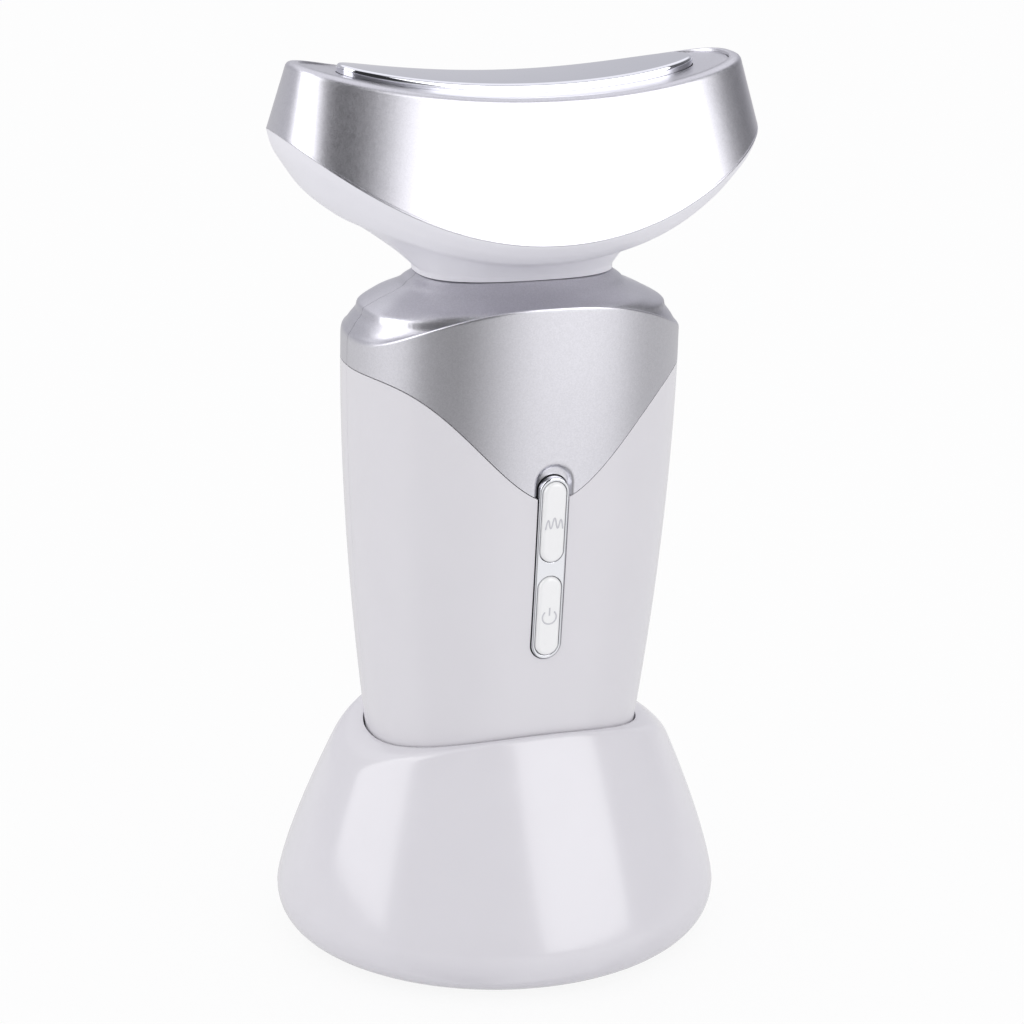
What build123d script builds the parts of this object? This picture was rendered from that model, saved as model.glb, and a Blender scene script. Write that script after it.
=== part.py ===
from build123d import *
from math import atan, copysign, cos, degrees, pi, radians, sin
import os

# A cordless facial toning handset standing in its charging cradle.
# Millimetres. +Z is up, the buttons face -Y, and z = 0 is the surface that the cradle's feet stand on.

# ---------------------------------------------------------------- driving dimensions
# Cradle
cradle_width = 78.2          # at the widest level
cradle_depth = 71.8
cradle_belly = 8.0           # height of the widest level
cradle_foot_width = 61.6     # the flat ring under the rounded edge
cradle_foot_depth = 57.8
cradle_height = 41.9         # crest of the saddle-shaped mouth, front and back
mouth_side_drop = 5.0        # how far the mouth falls from its crest to its sides
rim_side = 1.9               # rim between the slot and the outside, at the sides
rim_front = 1.3              # the same at the crest
cradle_wall = 2.2
well_wall = 1.8
well_clearance = 0.4         # all round the handset in the well
rim_roof = 5.0               # solid rim above the hollow
seat_gap = 0.3               # between the handset's foot and the well's floor
foot_gap = 0.6               # the rubber feet stand this proud
foot_pad_radius = 4.0
foot_pad_inset = 0.8
foot_pad_x = 18.0
foot_pad_y = 14.0
base_plate_thickness = 1.6
cradle_screw_x = 20.5
cradle_screw_y = 5.5
cradle_screw_sink = 0.9      # seat of the screws' heads in the base plate
dock_board_low = 4.6
dock_board_thickness = 1.2
dock_board_width = 24.4
dock_board_setback = 4.6     # from the inlet's mouth to the board's back edge
dock_post_x = 9.8
dock_post_radius = 2.0

# Grip of the handset
grip_foot = 14.0             # underside of the handset above the table
grip_foot_width = 40.4
grip_foot_depth = 31.8
grip_shoulder = 104.0        # height of the widest level
grip_width = 57.5
grip_depth = 44.9
grip_wall = 1.9
foot_cap_height = 4.0
foot_cap_round = 2.6

# Collar
collar_ridge = 116.9         # crest of the ridge in front
collar_ridge_rear = 112.0    # crest of the ridge at the back
collar_ridge_side = 107.9    # the ridge at the sides
collar_wall = 1.3
collar_skin = 1.6            # over the shoulder
collar_point_front = 84.0    # lowest point of the silver edge in front
collar_point_rear = 92.0
collar_edge_side = 103.6     # the silver edge at the sides
collar_lip = 1.4             # thickness of the ridge at its crest
valley_depth = 1.9           # from the ridge down to the floor behind it
dome_width = 52.0            # at the rounded edge of the shoulder
dome_depth = 32.8
dome_edge = 113.0            # height of that edge
dome_foot = 106.4            # the shoulder's wall starts this high, inside the ridge
dome_spread = 4.4            # how much wider the wall is at its foot
collar_bore_gap = 0.15       # round the head's spigot
ridge_room_width = 44.0      # oval room that hollows the ridge out
ridge_room_depth = 41.0
seam_gap = 0.15              # visible line between two outer pieces

# Head
neck_width = 34.0
neck_depth = 20.7
neck_seam = 118.4
neck_straight = 1.0
head_width = 83.1            # at the band's lower edge
head_depth = 41.8
band_low_middle = 126.5      # lower edge of the band, in the middle and at the tips
band_low_tip = 142.8
rim_width = 77.4             # at the band's upper edge
rim_depth = 28.0
rim_middle = 149.0
rim_tip = 153.65
head_wall = 1.8
head_lift = 1.4              # the inside of the sloping underside lies this much higher
spigot_step = 1.7            # the spigot in the collar is this much smaller than the neck
spigot_length = 6.4          # below the shoulder's edge
frame_thickness = 2.4
plate_width = 61.4           # electrode plate
plate_depth = 15.5
plate_edge = 1.0             # its wall above the frame
plate_crown = 0.55           # how much it bulges above that wall
plate_thickness = 1.4
plate_ledge = 1.4            # the frame's ledge that carries the plate
plate_seat_gap = 0.05
film_thickness = 0.25
film_width = 52.0
film_depth = 7.0
head_post_x = 21.0
head_post_y = 3.2
head_screw_length = 10.0
bracket_low = 128.5
bracket_thickness = 1.6
bracket_depth = 23.0
bracket_margin = 0.8         # from the bracket's ends to the shell

# Buttons
bezel_width = 5.2
bezel_low = 56.1             # heights of the bezel's ends
bezel_high = 88.4
bezel_proud = 0.45
bezel_gap = 0.2              # dark line round the bezel
flange_thickness = 0.8
stop_thickness = 0.6
button_width = 4.1
button_length = 14.1
button_gap = 2.6             # bridge between the two buttons
button_proud = 0.55          # above the bezel
button_travel = 0.4
button_clearance = 0.1
scoop_width = 6.6            # hollow in the collar over the bezel's upper end
scoop_top = 90.6
scoop_depth = 0.8

# Inside
cell_radius = 9.2
cell_length = 65.0
cell_bottom = 30.0
cell_offset = 5.0            # behind the middle of the grip
board_width = 24.0
board_length = 62.0
board_thickness = 1.6
board_post_x = 9.0
board_post_radius = 1.8
switch_size = 6.0
switch_height = 3.5
plunger_height = 0.8
boss_x = 15.5
boss_low = 24.5              # heights of the screws that join the grip's halves
boss_high = 101.5
shell_screw_seat = 6.0       # behind the parting plane
shell_screw_reach = 10.0     # in front of it
motor_radius = 5.0
motor_length = 20.0
motor_start = -12.0
motor_shaft_radius = 0.75
motor_shaft_clearance = 0.05
weight_radius = 4.4
weight_length = 5.0
pin_pitch = 7.0
pin_radius = 0.9
pin_clearance = 0.05
pin_travel = 1.0
pin_reach = 1.2              # the tips stand this much above the handset's foot
pin_gap = 0.02               # from the tips to the handset's contacts
contact_radius = 2.2
inlet_width = 8.94
inlet_height = 3.26
inlet_length = 7.3
inlet_wall = 0.35
inlet_recess = 0.4
inlet_margin = 0.25
screw_radius = 1.2
screw_clearance = 0.05
small_screw_radius = 0.8
screw_head_radius = 2.2
screw_head_height = 1.4
boss_radius = 2.8
fit_gap = 0.1                # between pieces of one body that lie face to face

# Shape of the curves
OVAL_POINTS = 16             # points of an outline, a multiple of four
HEAD_POINTS = 20             # the same for the head, whose ovals are squarer
ARCH_STEPS = 26
CRADLE_POWER = 2.0           # 2 is an ellipse, more is squarer
GRIP_POWER = 2.2
DOME_POWER = 2.5
HEAD_POWER = 2.6
CRADLE_LEAN = (1.3, 1.15)    # how the cradle draws in above its belly, across and in depth
CRADLE_ROUND = 2.3           # how full its lower edge is
GRIP_SWELL = 1.8             # how the grip widens from its foot to its shoulder
RIDGE_SWEEP = 2.4            # how the collar's ridge falls from the front to the sides
REAR_SWEEP = 1.6             # and from the back to the sides
FLARE_STEPS = (0, 0.06, 0.12, 0.25, 0.42, 0.6, 0.78, 0.9, 0.97, 1)      # from neck to band
TIP_FLARE = (0, 0.055, 0.11, 0.21, 0.33, 0.43, 0.585, 0.755, 0.88, 1)   # rise at the tips
FRONT_FLARE = (0, 0.16, 0.25, 0.32, 0.38, 0.47, 0.66, 0.83, 0.94, 1)    # and everywhere else
TIP_FOCUS = 8.0              # how closely the tips' shape keeps to the head's ends
SIDE_REACH = 46.0            # half width of the blocks that cut along a curve
FAR = 120.0                  # reach of cutting blocks


# ---------------------------------------------------------------- curves and blocks
def oval_point(turn, width, depth, power):
    """A point of a superellipse, at an angle round it."""
    x = copysign(abs(cos(turn)) ** (2 / power), cos(turn)) * width / 2
    y = copysign(abs(sin(turn)) ** (2 / power), sin(turn)) * depth / 2
    return x, y


def ring(point_at, height, count=OVAL_POINTS):
    """A level closed face whose outline goes through point_at(turn, height)."""
    turns = [2 * pi * step / count for step in range(count)]
    points = [(*point_at(turn, height), height) for turn in turns]
    return Face(Wire(Edge.make_spline(points, periodic=True)))


def form(point_at, heights, count=OVAL_POINTS):
    """A solid through level rings at the given heights."""
    return loft([ring(point_at, height, count) for height in heights])


def oval_prism(width, depth, low, high, power=HEAD_POWER):
    """An upright prism on a superellipse."""
    base = ring(lambda turn, _: oval_point(turn, width, depth, power), low, HEAD_POINTS)
    return extrude(base, amount=high - low)


def levels(low, high, count):
    """Evenly spaced heights, both ends included."""
    return [low + (high - low) * step / count for step in range(count + 1)]


def box_between(low, high):
    """A box from its lowest to its highest corner."""
    size = [top - bottom for bottom, top in zip(low, high)]
    centre = [(top + bottom) / 2 for bottom, top in zip(low, high)]
    return Pos(*centre) * Box(*size)


def column(x, y, low, high, radius):
    """An upright cylinder."""
    return Pos(x, y, (low + high) / 2) * Cylinder(radius, high - low)


def rod(start, end, radius):
    """A cylinder from one point to another."""
    axis = Vector(*end) - Vector(*start)
    return extrude(Plane(origin=start, z_dir=axis) * Circle(radius), amount=axis.length)


def half_space(side):
    """Everything in front of (side -1) or behind (side 1) the parting plane y = 0."""
    low, high = sorted((0.0, side * FAR))
    return box_between((-FAR, low, -FAR), (FAR, high, 2 * FAR))


def beside_curve(height_at, end):
    """A block running front to back, between a curve height_at(x) and a level end."""
    places = [SIDE_REACH * (2 * step / ARCH_STEPS - 1) for step in range(ARCH_STEPS + 1)]
    curve = Spline(*[(x, height_at(x)) for x in places])
    sides = Polyline(
        (SIDE_REACH, height_at(SIDE_REACH)),
        (SIDE_REACH, end),
        (-SIDE_REACH, end),
        (-SIDE_REACH, height_at(-SIDE_REACH)),
    )
    return extrude(Plane.XZ * make_face(curve + sides), amount=FAR, both=True)


def under_curve(height_at):
    """Everything below height_at(x)."""
    return beside_curve(height_at, -FAR)


def over_curve(height_at):
    """Everything above height_at(x)."""
    return beside_curve(height_at, 3 * FAR)


def arch(middle, end, half_width, power=2.0):
    """Height of an arch at x: middle at x = 0, end at x = half_width."""
    return lambda x: middle + (end - middle) * (abs(x) / half_width) ** power


def mirrored(x, y):
    """The four places at (+-x, +-y)."""
    return [(sx * x, sy * y) for sx in (-1, 1) for sy in (-1, 1)]


# ---------------------------------------------------------------- outer forms
def grip_size(height):
    """Width and depth of the grip at a height. It stays as wide above its shoulder."""
    rise = min((height - grip_foot) / (grip_shoulder - grip_foot), 1.0)
    swell = 1 - (1 - rise) ** GRIP_SWELL
    width = grip_foot_width + (grip_width - grip_foot_width) * swell
    depth = grip_foot_depth + (grip_depth - grip_foot_depth) * swell
    return width, depth


def grip_form(low, high, inset=0.0):
    """The grip's oval body between two heights, smaller by inset all round."""
    def point_at(turn, height):
        width, depth = grip_size(height)
        return oval_point(turn, width - 2 * inset, depth - 2 * inset, GRIP_POWER)
    return form(point_at, levels(low, high, 5))


def mouth_size():
    """Width and depth of the cradle's outside at the crest of its mouth."""
    width, depth = grip_size(cradle_height)
    return (
        width + 2 * (well_clearance + rim_side),
        depth + 2 * (well_clearance + rim_front),
    )


def cradle_size(height):
    """Width and depth of the cradle's outside at a height."""
    sizes = []
    feet = (cradle_foot_width, cradle_foot_depth)
    bellies = (cradle_width, cradle_depth)
    for foot, belly, mouth, lean in zip(feet, bellies, mouth_size(), CRADLE_LEAN):
        if height < cradle_belly:
            down = (cradle_belly - height) / (cradle_belly - foot_gap)
            full = max(1 - down ** CRADLE_ROUND, 0.0) ** (1 / CRADLE_ROUND)
            sizes.append(foot + (belly - foot) * full)
        else:
            up = (height - cradle_belly) / (cradle_height - cradle_belly)
            sizes.append(belly + (mouth - belly) * up ** lean)
    return sizes


def cradle_form(inset, low, high):
    """The cradle's outside between two heights, smaller by inset all round."""
    def point_at(turn, height):
        width, depth = cradle_size(height)
        return oval_point(turn, width - 2 * inset, depth - 2 * inset, CRADLE_POWER)
    span = cradle_belly - foot_gap
    low_edge = [foot_gap + span * share for share in (0, 0.04, 0.15, 0.35, 0.65)]
    heights = [height for height in low_edge if height > low]
    heights = [low] + heights + levels(cradle_belly, high, 7)
    return form(point_at, heights)


def mouth_height(x):
    """Height of the cradle's saddle-shaped mouth."""
    return arch(cradle_height, cradle_height - mouth_side_drop, mouth_size()[0] / 2)(x)


def ridge_height(side, x):
    """Height of the collar's ridge, in front (side -1) or at the back (side 1)."""
    crest = collar_ridge if side < 0 else collar_ridge_rear
    sweep = RIDGE_SWEEP if side < 0 else REAR_SWEEP
    return arch(crest, collar_ridge_side, grip_width / 2, sweep)(x)


def collar_edge_height(point):
    """Height of the silver edge at x, for a collar whose lowest point is given."""
    def height_at(x):
        across = min(abs(x) / (grip_width / 2), 1.0)
        return point + (collar_edge_side - point) * sin(pi / 2 * across ** 0.9) ** 2
    return height_at


def band_low_height(x):
    """Height of the head band's lower edge."""
    return arch(band_low_middle, band_low_tip, head_width / 2)(x)


def rim_height(x):
    """Height of the head's upper rim."""
    return arch(rim_middle, rim_tip, rim_width / 2)(x)


def dome_form():
    """The shoulder: a wall, a rounded edge and a hollow slope up to the neck seam."""
    rise = neck_seam - dome_edge
    across = dome_width - neck_width
    inwards = dome_depth - neck_depth
    stations = [(dome_foot, dome_width + dome_spread, dome_depth + dome_spread)]
    for up, out_x, out_y in (
        (-0.45, 1.09, 1.08), (-0.19, 1.03, 1.02), (0, 1, 1), (0.19, 0.8, 0.98),
        (0.33, 0.62, 0.9), (0.48, 0.41, 0.6), (0.63, 0.27, 0.27), (0.78, 0.16, 0.1), (1, 0, 0),
    ):
        size = (neck_width + across * out_x, neck_depth + inwards * out_y)
        stations.append((dome_edge + rise * up, *size))
    return stacked_ovals(stations)


def dome_room():
    """The room under the shoulder: an upright wall and a sloping roof."""
    width = dome_width - 2 * collar_skin
    depth = dome_depth - 2 * collar_skin
    return stacked_ovals([
        (dome_foot - 1.0, width, depth),
        (dome_edge - collar_skin, width, depth),
        (neck_seam - collar_skin, spigot_width + 1.4, spigot_depth + 1.4),
    ])


def stacked_ovals(stations):
    """A solid with straight sides between level ovals, each given as height, width and depth."""
    faces = []
    for height, width, depth in stations:
        size = (width, depth, DOME_POWER)
        faces.append(ring(lambda turn, _, size=size: oval_point(turn, *size), height))
    return loft(faces, ruled=True)


def band_form(inset=0.0):
    """The head band's outside, made of straight lines from its lower to its upper edge."""
    def point_at(turn, height):
        side, front = oval_point(turn, 2.0, 2.0, HEAD_POWER)
        low = band_low_height(side * head_width / 2)
        high = rim_height(side * rim_width / 2)
        up = (height - low) / (high - low)
        width = head_width + (rim_width - head_width) * up - 2 * inset
        depth = head_depth + (rim_depth - head_depth) * up - 2 * inset
        return side * width / 2, front * depth / 2
    return form(point_at, levels(band_low_middle - 3.0, rim_tip + 2.0, 5), HEAD_POINTS)


def flare_share(side, rise):
    """How far the underside has opened from neck to band, at a share of its rise."""
    focus = side ** TIP_FOCUS
    rises = [tip * focus + front * (1 - focus) for tip, front in zip(TIP_FLARE, FRONT_FLARE)]
    for step in range(len(rises) - 1):
        if rise < rises[step + 1]:
            part = (rise - rises[step]) / (rises[step + 1] - rises[step])
            return FLARE_STEPS[step] + part * (FLARE_STEPS[step + 1] - FLARE_STEPS[step])
    return 1.0


def flare_form(inset=0.0, lift=0.0):
    """The head's underside, opening from the neck to the band's lower edge."""
    start = neck_seam + neck_straight

    def point_at(turn, height):
        side, front = oval_point(turn, 2.0, 2.0, HEAD_POWER)
        top = band_low_height(side * head_width / 2)
        share = flare_share(abs(side), max(height - lift - start, 0.0) / (top - start))
        width = neck_width + (head_width - neck_width) * share - 2 * inset
        depth = neck_depth + (head_depth - neck_depth) * share - 2 * inset
        return side * width / 2, front * depth / 2

    shares = (0, 0.05, 0.1, 0.17, 0.26, 0.36, 0.48, 0.62, 0.78, 0.92, 1.08)
    heights = [start + lift + (band_low_tip - start) * share for share in shares]
    return form(point_at, heights, HEAD_POINTS)


# ---------------------------------------------------------------- levels shared by pieces
plate_top = foot_gap + base_plate_thickness
well_floor = grip_foot - seat_gap
well_floor_under = well_floor - well_wall
hollow_top = cradle_height - mouth_side_drop - rim_roof
dock_board_top = dock_board_low + dock_board_thickness
inlet_middle = dock_board_top + inlet_height / 2
inlet_face = cradle_size(inlet_middle)[1] / 2 - inlet_recess
screw_places = mirrored(cradle_screw_x, cradle_screw_y)
foot_places = mirrored(foot_pad_x, foot_pad_y)
pin_places = [side * pin_pitch / 2 for side in (-1, 1)]
post_places = [side * dock_post_x for side in (-1, 1)]
pin_shoulder = well_floor_under - fit_gap
pin_well_floor = dock_board_top + 0.8
pin_tip = grip_foot + pin_reach
contact_low = pin_tip + pin_gap
grip_low = grip_foot + foot_cap_height
shell_top = collar_ridge_side - collar_skin - 0.5
boss_places = [(side * boss_x, height) for side in (-1, 1) for height in (boss_low, boss_high)]
spigot_width = neck_width - 2 * spigot_step
spigot_depth = neck_depth - 2 * spigot_step
flare_low = neck_seam + neck_straight
head_post_places = mirrored(head_post_x, head_post_y)
head_post_radius = boss_radius - 0.2
bracket_top = bracket_low + bracket_thickness
bracket_rise = (bracket_low - head_lift - flare_low) / (band_low_tip - flare_low)
bracket_room = neck_width + (head_width - neck_width) * flare_share(1.0, bracket_rise)
bracket_width = bracket_room - 2 * (head_wall + bracket_margin)
motor_height = bracket_top + 0.2 + motor_radius
motor_end = motor_start + motor_length
frame_seat = frame_thickness - 0.6

# The plane of the buttons lies on the grip's surface. Its z points outwards.
bezel_middle = (bezel_low + bezel_high) / 2
bezel_length = bezel_high - bezel_low
front_low = grip_size(bezel_low)[1] / 2
front_high = grip_size(bezel_high)[1] / 2
button_tilt = atan((front_high - front_low) / bezel_length)
button_plane = Plane(
    origin=(0, -(front_low + front_high) / 2, bezel_middle),
    x_dir=(1, 0, 0),
    z_dir=(0, -cos(button_tilt), -sin(button_tilt)),
)
button_places = [side * (button_length + button_gap) / 2 for side in (1, -1)]
flange_front = -(grip_wall + 0.45)
flange_back = flange_front - flange_thickness
stop_front = flange_back - fit_gap
stop_back = stop_front - stop_thickness
plunger_tip = stop_back - button_travel - fit_gap
board_front = plunger_tip - plunger_height - switch_height
board_back = board_front - board_thickness
board_post_places = [
    (side * board_post_x, end * (board_length / 2 - 3.0)) for side in (-1, 1) for end in (-1, 1)
]


def slot_block(length, width, low, high, along=0.0):
    """A stadium-ended block in the plane of the buttons, between two depths."""
    outline = Pos(0, along) * SlotOverall(length, width, rotation=90)
    return extrude(button_plane.offset(low) * outline, amount=high - low)


def plane_box(width, length, low, high, along=0.0):
    """A box in the plane of the buttons, between two depths."""
    outline = Pos(0, along) * Rectangle(width, length)
    return extrude(button_plane.offset(low) * outline, amount=high - low)


def plane_rod(radius, low, high, across, along):
    """A round rod across the plane of the buttons, between two depths."""
    outline = Pos(across, along) * Circle(radius)
    return extrude(button_plane.offset(low) * outline, amount=high - low)


def edges_at(solid, depth):
    """The edges of a solid that lie at one depth of the plane of the buttons."""
    return [
        edge for edge in solid.edges()
        if abs(button_plane.to_local_coords(edge.center()).Z - depth) < 0.01
    ]


# ---------------------------------------------------------------- cradle
def make_cradle_shell():
    outside = cradle_form(0.0, foot_gap, cradle_height + 1.5) & under_curve(mouth_height)
    hollow = cradle_form(cradle_wall, foot_gap, hollow_top)
    hollow -= grip_form(well_floor_under, cradle_height, -(well_clearance + well_wall))
    for x, y in screw_places:
        hollow -= column(x, y, plate_top + fit_gap, well_floor_under + 1.0, boss_radius)
    for x in post_places:
        hollow -= column(x, 0.0, dock_board_top, well_floor_under + 1.0, dock_post_radius)
    shell = outside - hollow
    shell -= grip_form(well_floor, cradle_height + 3.0, -well_clearance)
    for x, y in screw_places:
        shell -= column(x, y, 0.0, screw_end(), screw_radius + screw_clearance)
    for x in post_places:
        shell -= column(x, 0.0, 0.0, screw_end(), small_screw_radius + screw_clearance)
    shell -= pin_neck(well_floor_under - 1.0, well_floor + 1.0, fit_gap)
    return shell - inlet_block(inlet_margin, cradle_wall)


def screw_end():
    """How high the cradle's screw holes reach."""
    return well_floor_under - 0.6


def pin_neck(low, high, gap):
    """The pin block's upper part, which passes through the well's floor."""
    width = pin_pitch + 2 * (pin_radius + 2.1 + gap)
    depth = 2 * (pin_radius + 1.6 + gap)
    return Pos(0, 0, (low + high) / 2) * Box(width, depth, high - low)


def inlet_block(gap, extra):
    """The charging inlet's outer shape, larger by gap and longer by extra at its mouth."""
    outline = SlotOverall(inlet_width + 2 * gap, inlet_height + 2 * gap)
    place = Plane.XZ.offset(-(inlet_face + extra))
    return extrude(place * Pos(0, inlet_middle) * outline, amount=inlet_length + extra)


def make_cradle_base_plate():
    width, depth = (size - 2 * (cradle_wall + seam_gap) for size in cradle_size(foot_gap))
    plate = oval_prism(width, depth, foot_gap, plate_top, CRADLE_POWER)
    seat = foot_gap + cradle_screw_sink
    for x, y in screw_places:
        plate -= column(x, y, 0.0, plate_top + 1.0, screw_radius + screw_clearance)
        plate -= column(x, y, 0.0, seat, screw_head_radius + 0.2)
    for x, y in foot_places:
        plate -= column(x, y, 0.0, foot_gap + foot_pad_inset, foot_pad_radius + fit_gap)
    return plate


def make_cradle_feet():
    pads = [column(x, y, 0.0, foot_gap + foot_pad_inset, foot_pad_radius) for x, y in foot_places]
    return Compound([fillet(pad.edges().group_by(Axis.Z)[0], foot_gap * 0.6) for pad in pads])


def make_cradle_screws():
    seat = foot_gap + cradle_screw_sink
    screws = []
    for x, y in screw_places:
        shank = column(x, y, seat, screw_end() - 0.3, screw_radius)
        screws.append(shank + column(x, y, foot_gap + 0.1, seat, screw_head_radius))
    return Compound(screws)


def make_dock_board():
    half = dock_board_width / 2
    back = inlet_face - dock_board_setback
    board = box_between((-half, -5.5, dock_board_low), (half, back, dock_board_top))
    for x in post_places:
        board -= column(x, 0.0, 0.0, cradle_height, small_screw_radius + 0.2)
    return board


def make_dock_board_screws():
    screws = []
    for x in post_places:
        shank = column(x, 0.0, dock_board_low, screw_end() - 0.3, small_screw_radius)
        head = column(x, 0.0, dock_board_low - 1.0, dock_board_low, 2 * small_screw_radius)
        screws.append(shank + head)
    return Compound(screws)


def make_pin_block():
    half = pin_pitch / 2 + 3.6
    block = box_between((-half, -3.4, dock_board_top), (half, 3.4, pin_shoulder))
    block += pin_neck(pin_shoulder, well_floor, 0.0)
    for x in pin_places:
        block -= column(x, 0.0, pin_well_floor, pin_shoulder, pin_radius + 0.3 + pin_clearance)
        block -= column(x, 0.0, pin_shoulder, well_floor + 1.0, pin_radius + pin_clearance)
    return block


def make_charge_pin(x):
    """A spring pin: a rounded tip on a wider collar that its barrel holds back."""
    collar_low = pin_well_floor + pin_travel + 0.5
    tip = column(x, 0.0, collar_low, pin_tip, pin_radius)
    tip = fillet(tip.edges().group_by(Axis.Z)[-1], pin_radius * 0.6)
    return tip + column(x, 0.0, collar_low, pin_shoulder - 0.05, pin_radius + 0.3)


def make_charging_inlet():
    inlet = inlet_block(0.0, 0.0)
    mouth = inlet.faces().sort_by(Axis.Y)[-1]
    inlet -= extrude(offset(mouth, amount=-inlet_wall), amount=-(inlet_length - 1.2))
    tongue_half = inlet_width / 2 - inlet_wall - 0.8
    tongue = box_between(
        (-tongue_half, inlet_face - inlet_length + 1.0, inlet_middle - inlet_wall),
        (tongue_half, inlet_face - 1.2, inlet_middle + inlet_wall),
    )
    return inlet + tongue


# ---------------------------------------------------------------- grip
def make_foot_cap():
    cap = grip_form(grip_foot, grip_low - fit_gap)
    cap = fillet(cap.edges().group_by(Axis.Z)[0], foot_cap_round)
    width, depth = (size - 2 * (grip_wall + fit_gap) for size in grip_size(grip_low))
    cap += oval_prism(width, depth, grip_low - 1.0, grip_low + 2.0, GRIP_POWER)
    for x in pin_places:
        cap -= column(x, 0.0, 0.0, contact_low, pin_radius + 0.7)
        cap -= column(x, 0.0, contact_low, grip_low + 3.0, contact_radius + fit_gap)
    return cap


def make_charge_contacts():
    contacts = []
    for x in pin_places:
        disc = column(x, 0.0, contact_low, contact_low + 0.8, contact_radius)
        contacts.append(disc + column(x, 0.0, contact_low, grip_low + 3.0, 0.8))
    return Compound(contacts)


def make_grip_shell(side, point, inner_posts):
    """One half of the grip, with a recess for the silver collar, and posts inside it."""
    edge = collar_edge_height(point)
    recess = over_curve(lambda x: edge(x) - seam_gap)
    recess -= grip_form(grip_low, shell_top + 1.0, collar_wall + fit_gap)
    cavity = grip_form(grip_low - 1.0, shell_top + 1.0, grip_wall)
    for post in inner_posts:
        cavity -= post
    return (grip_form(grip_low, shell_top) & half_space(side)) - recess - cavity


def boss(x, height, side):
    """A screw boss that starts at the parting plane."""
    return rod((x, side * fit_gap / 2, height), (x, side * grip_depth, height), boss_radius)


def make_front_shell():
    posts = [boss(x, height, -1) for x, height in boss_places]
    for x, along in board_post_places:
        posts.append(plane_rod(board_post_radius, board_front, grip_wall, x, along))
    shell = make_grip_shell(-1, collar_point_front, posts)
    for x, height in boss_places:
        start = (x, 0, height)
        shell -= rod(start, (x, -(shell_screw_reach + 1.0), height), screw_radius + screw_clearance)
    for x, along in board_post_places:
        shell -= plane_rod(small_screw_radius + screw_clearance, board_front - 1.0,
                           board_front + 3.5, x, along)
    hole = (bezel_length + 2 * bezel_gap, bezel_width + 2 * bezel_gap)
    return shell - slot_block(*hole, flange_front, grip_wall)


def make_rear_shell():
    posts = [boss(x, height, 1) for x, height in boss_places]
    shell = make_grip_shell(1, collar_point_rear, posts)
    for x, height in boss_places:
        end = (x, grip_depth, height)
        shell -= rod((x, 0, height), end, screw_radius + screw_clearance)
        shell -= rod((x, shell_screw_seat, height), end, screw_head_radius + 0.2)
    return shell


def make_shell_screws():
    screws = []
    for x, height in boss_places:
        seat = (x, shell_screw_seat, height)
        shank = rod((x, -shell_screw_reach, height), seat, screw_radius)
        head = rod(seat, (x, shell_screw_seat + screw_head_height, height), screw_head_radius)
        screws.append(shank + head)
    return Compound(screws)


def make_main_board():
    board = plane_box(board_width, board_length, board_back, board_front)
    for x, along in board_post_places:
        board -= plane_rod(small_screw_radius + 0.2, board_back - 1.0, board_front + 1.0, x, along)
    chip = plane_box(7.0, 7.0, board_back - 0.9, board_back, 12.0)
    socket = plane_box(8.0, 5.0, board_back - 2.4, board_back, -22.0)
    return board + chip + socket


def make_board_screws():
    screws = []
    for x, along in board_post_places:
        shank = plane_rod(small_screw_radius, board_back, board_front + 3.0, x, along)
        head = plane_rod(2 * small_screw_radius, board_back - 1.0, board_back, x, along)
        screws.append(shank + head)
    return Compound(screws)


def make_tact_switches():
    switches = []
    for along in button_places:
        body_top = board_front + switch_height
        body = plane_box(switch_size, switch_size, board_front, body_top, along)
        switches.append(body + plane_rod(1.6, body_top, plunger_tip, 0.0, along))
    return Compound(switches)


def make_button_bezel():
    front = slot_block(bezel_length, bezel_width, flange_front, bezel_proud)
    front = fillet(edges_at(front, bezel_proud), 0.25)
    flange = slot_block(bezel_length + 3.0, bezel_width + 3.0, flange_back, flange_front)
    bezel = front + flange
    for along in button_places:
        hole = (button_length + 2 * button_clearance, button_width + 2 * button_clearance)
        bezel -= slot_block(*hole, flange_back - 1.0, bezel_proud + 1.0, along)
    return bezel


def make_button(along):
    """A button with the stop that keeps it behind the bezel."""
    top = bezel_proud + button_proud
    cap = slot_block(button_length, button_width, stop_front, top, along)
    cap = fillet(edges_at(cap, top), 0.45)
    stop = (button_length + 1.2, button_width + 1.2)
    return cap + slot_block(*stop, stop_back, stop_front, along)


def make_battery_cell():
    top = cell_bottom + cell_length
    cell = column(0.0, cell_offset, cell_bottom, top, cell_radius)
    cell = fillet(cell.edges(), 0.6)
    return cell + column(0.0, cell_offset, top, top + 0.8, 3.0)


def make_battery_tray():
    """Two saddles, a spine and two end stops between the cell and the rear shell."""
    top = cell_bottom + cell_length + 1.0
    back = cell_offset + cell_radius
    tray = box_between((-7.0, back - 1.5, cell_bottom - 2.0), (7.0, back + 1.0, top + 1.8))
    for height in (cell_bottom + 8.0, cell_bottom + cell_length - 8.0):
        tray += box_between((-9.0, cell_offset, height - 2.5), (9.0, grip_depth, height + 2.5))
    tray += box_between((-5.0, cell_offset - 3.0, cell_bottom - 2.0), (5.0, back, cell_bottom))
    tray += box_between((-5.0, cell_offset - 3.0, top), (5.0, back, top + 1.8))
    tray &= grip_form(grip_low, shell_top, grip_wall + fit_gap)
    return tray - column(0.0, cell_offset, cell_bottom - fit_gap, top, cell_radius + fit_gap)


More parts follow.
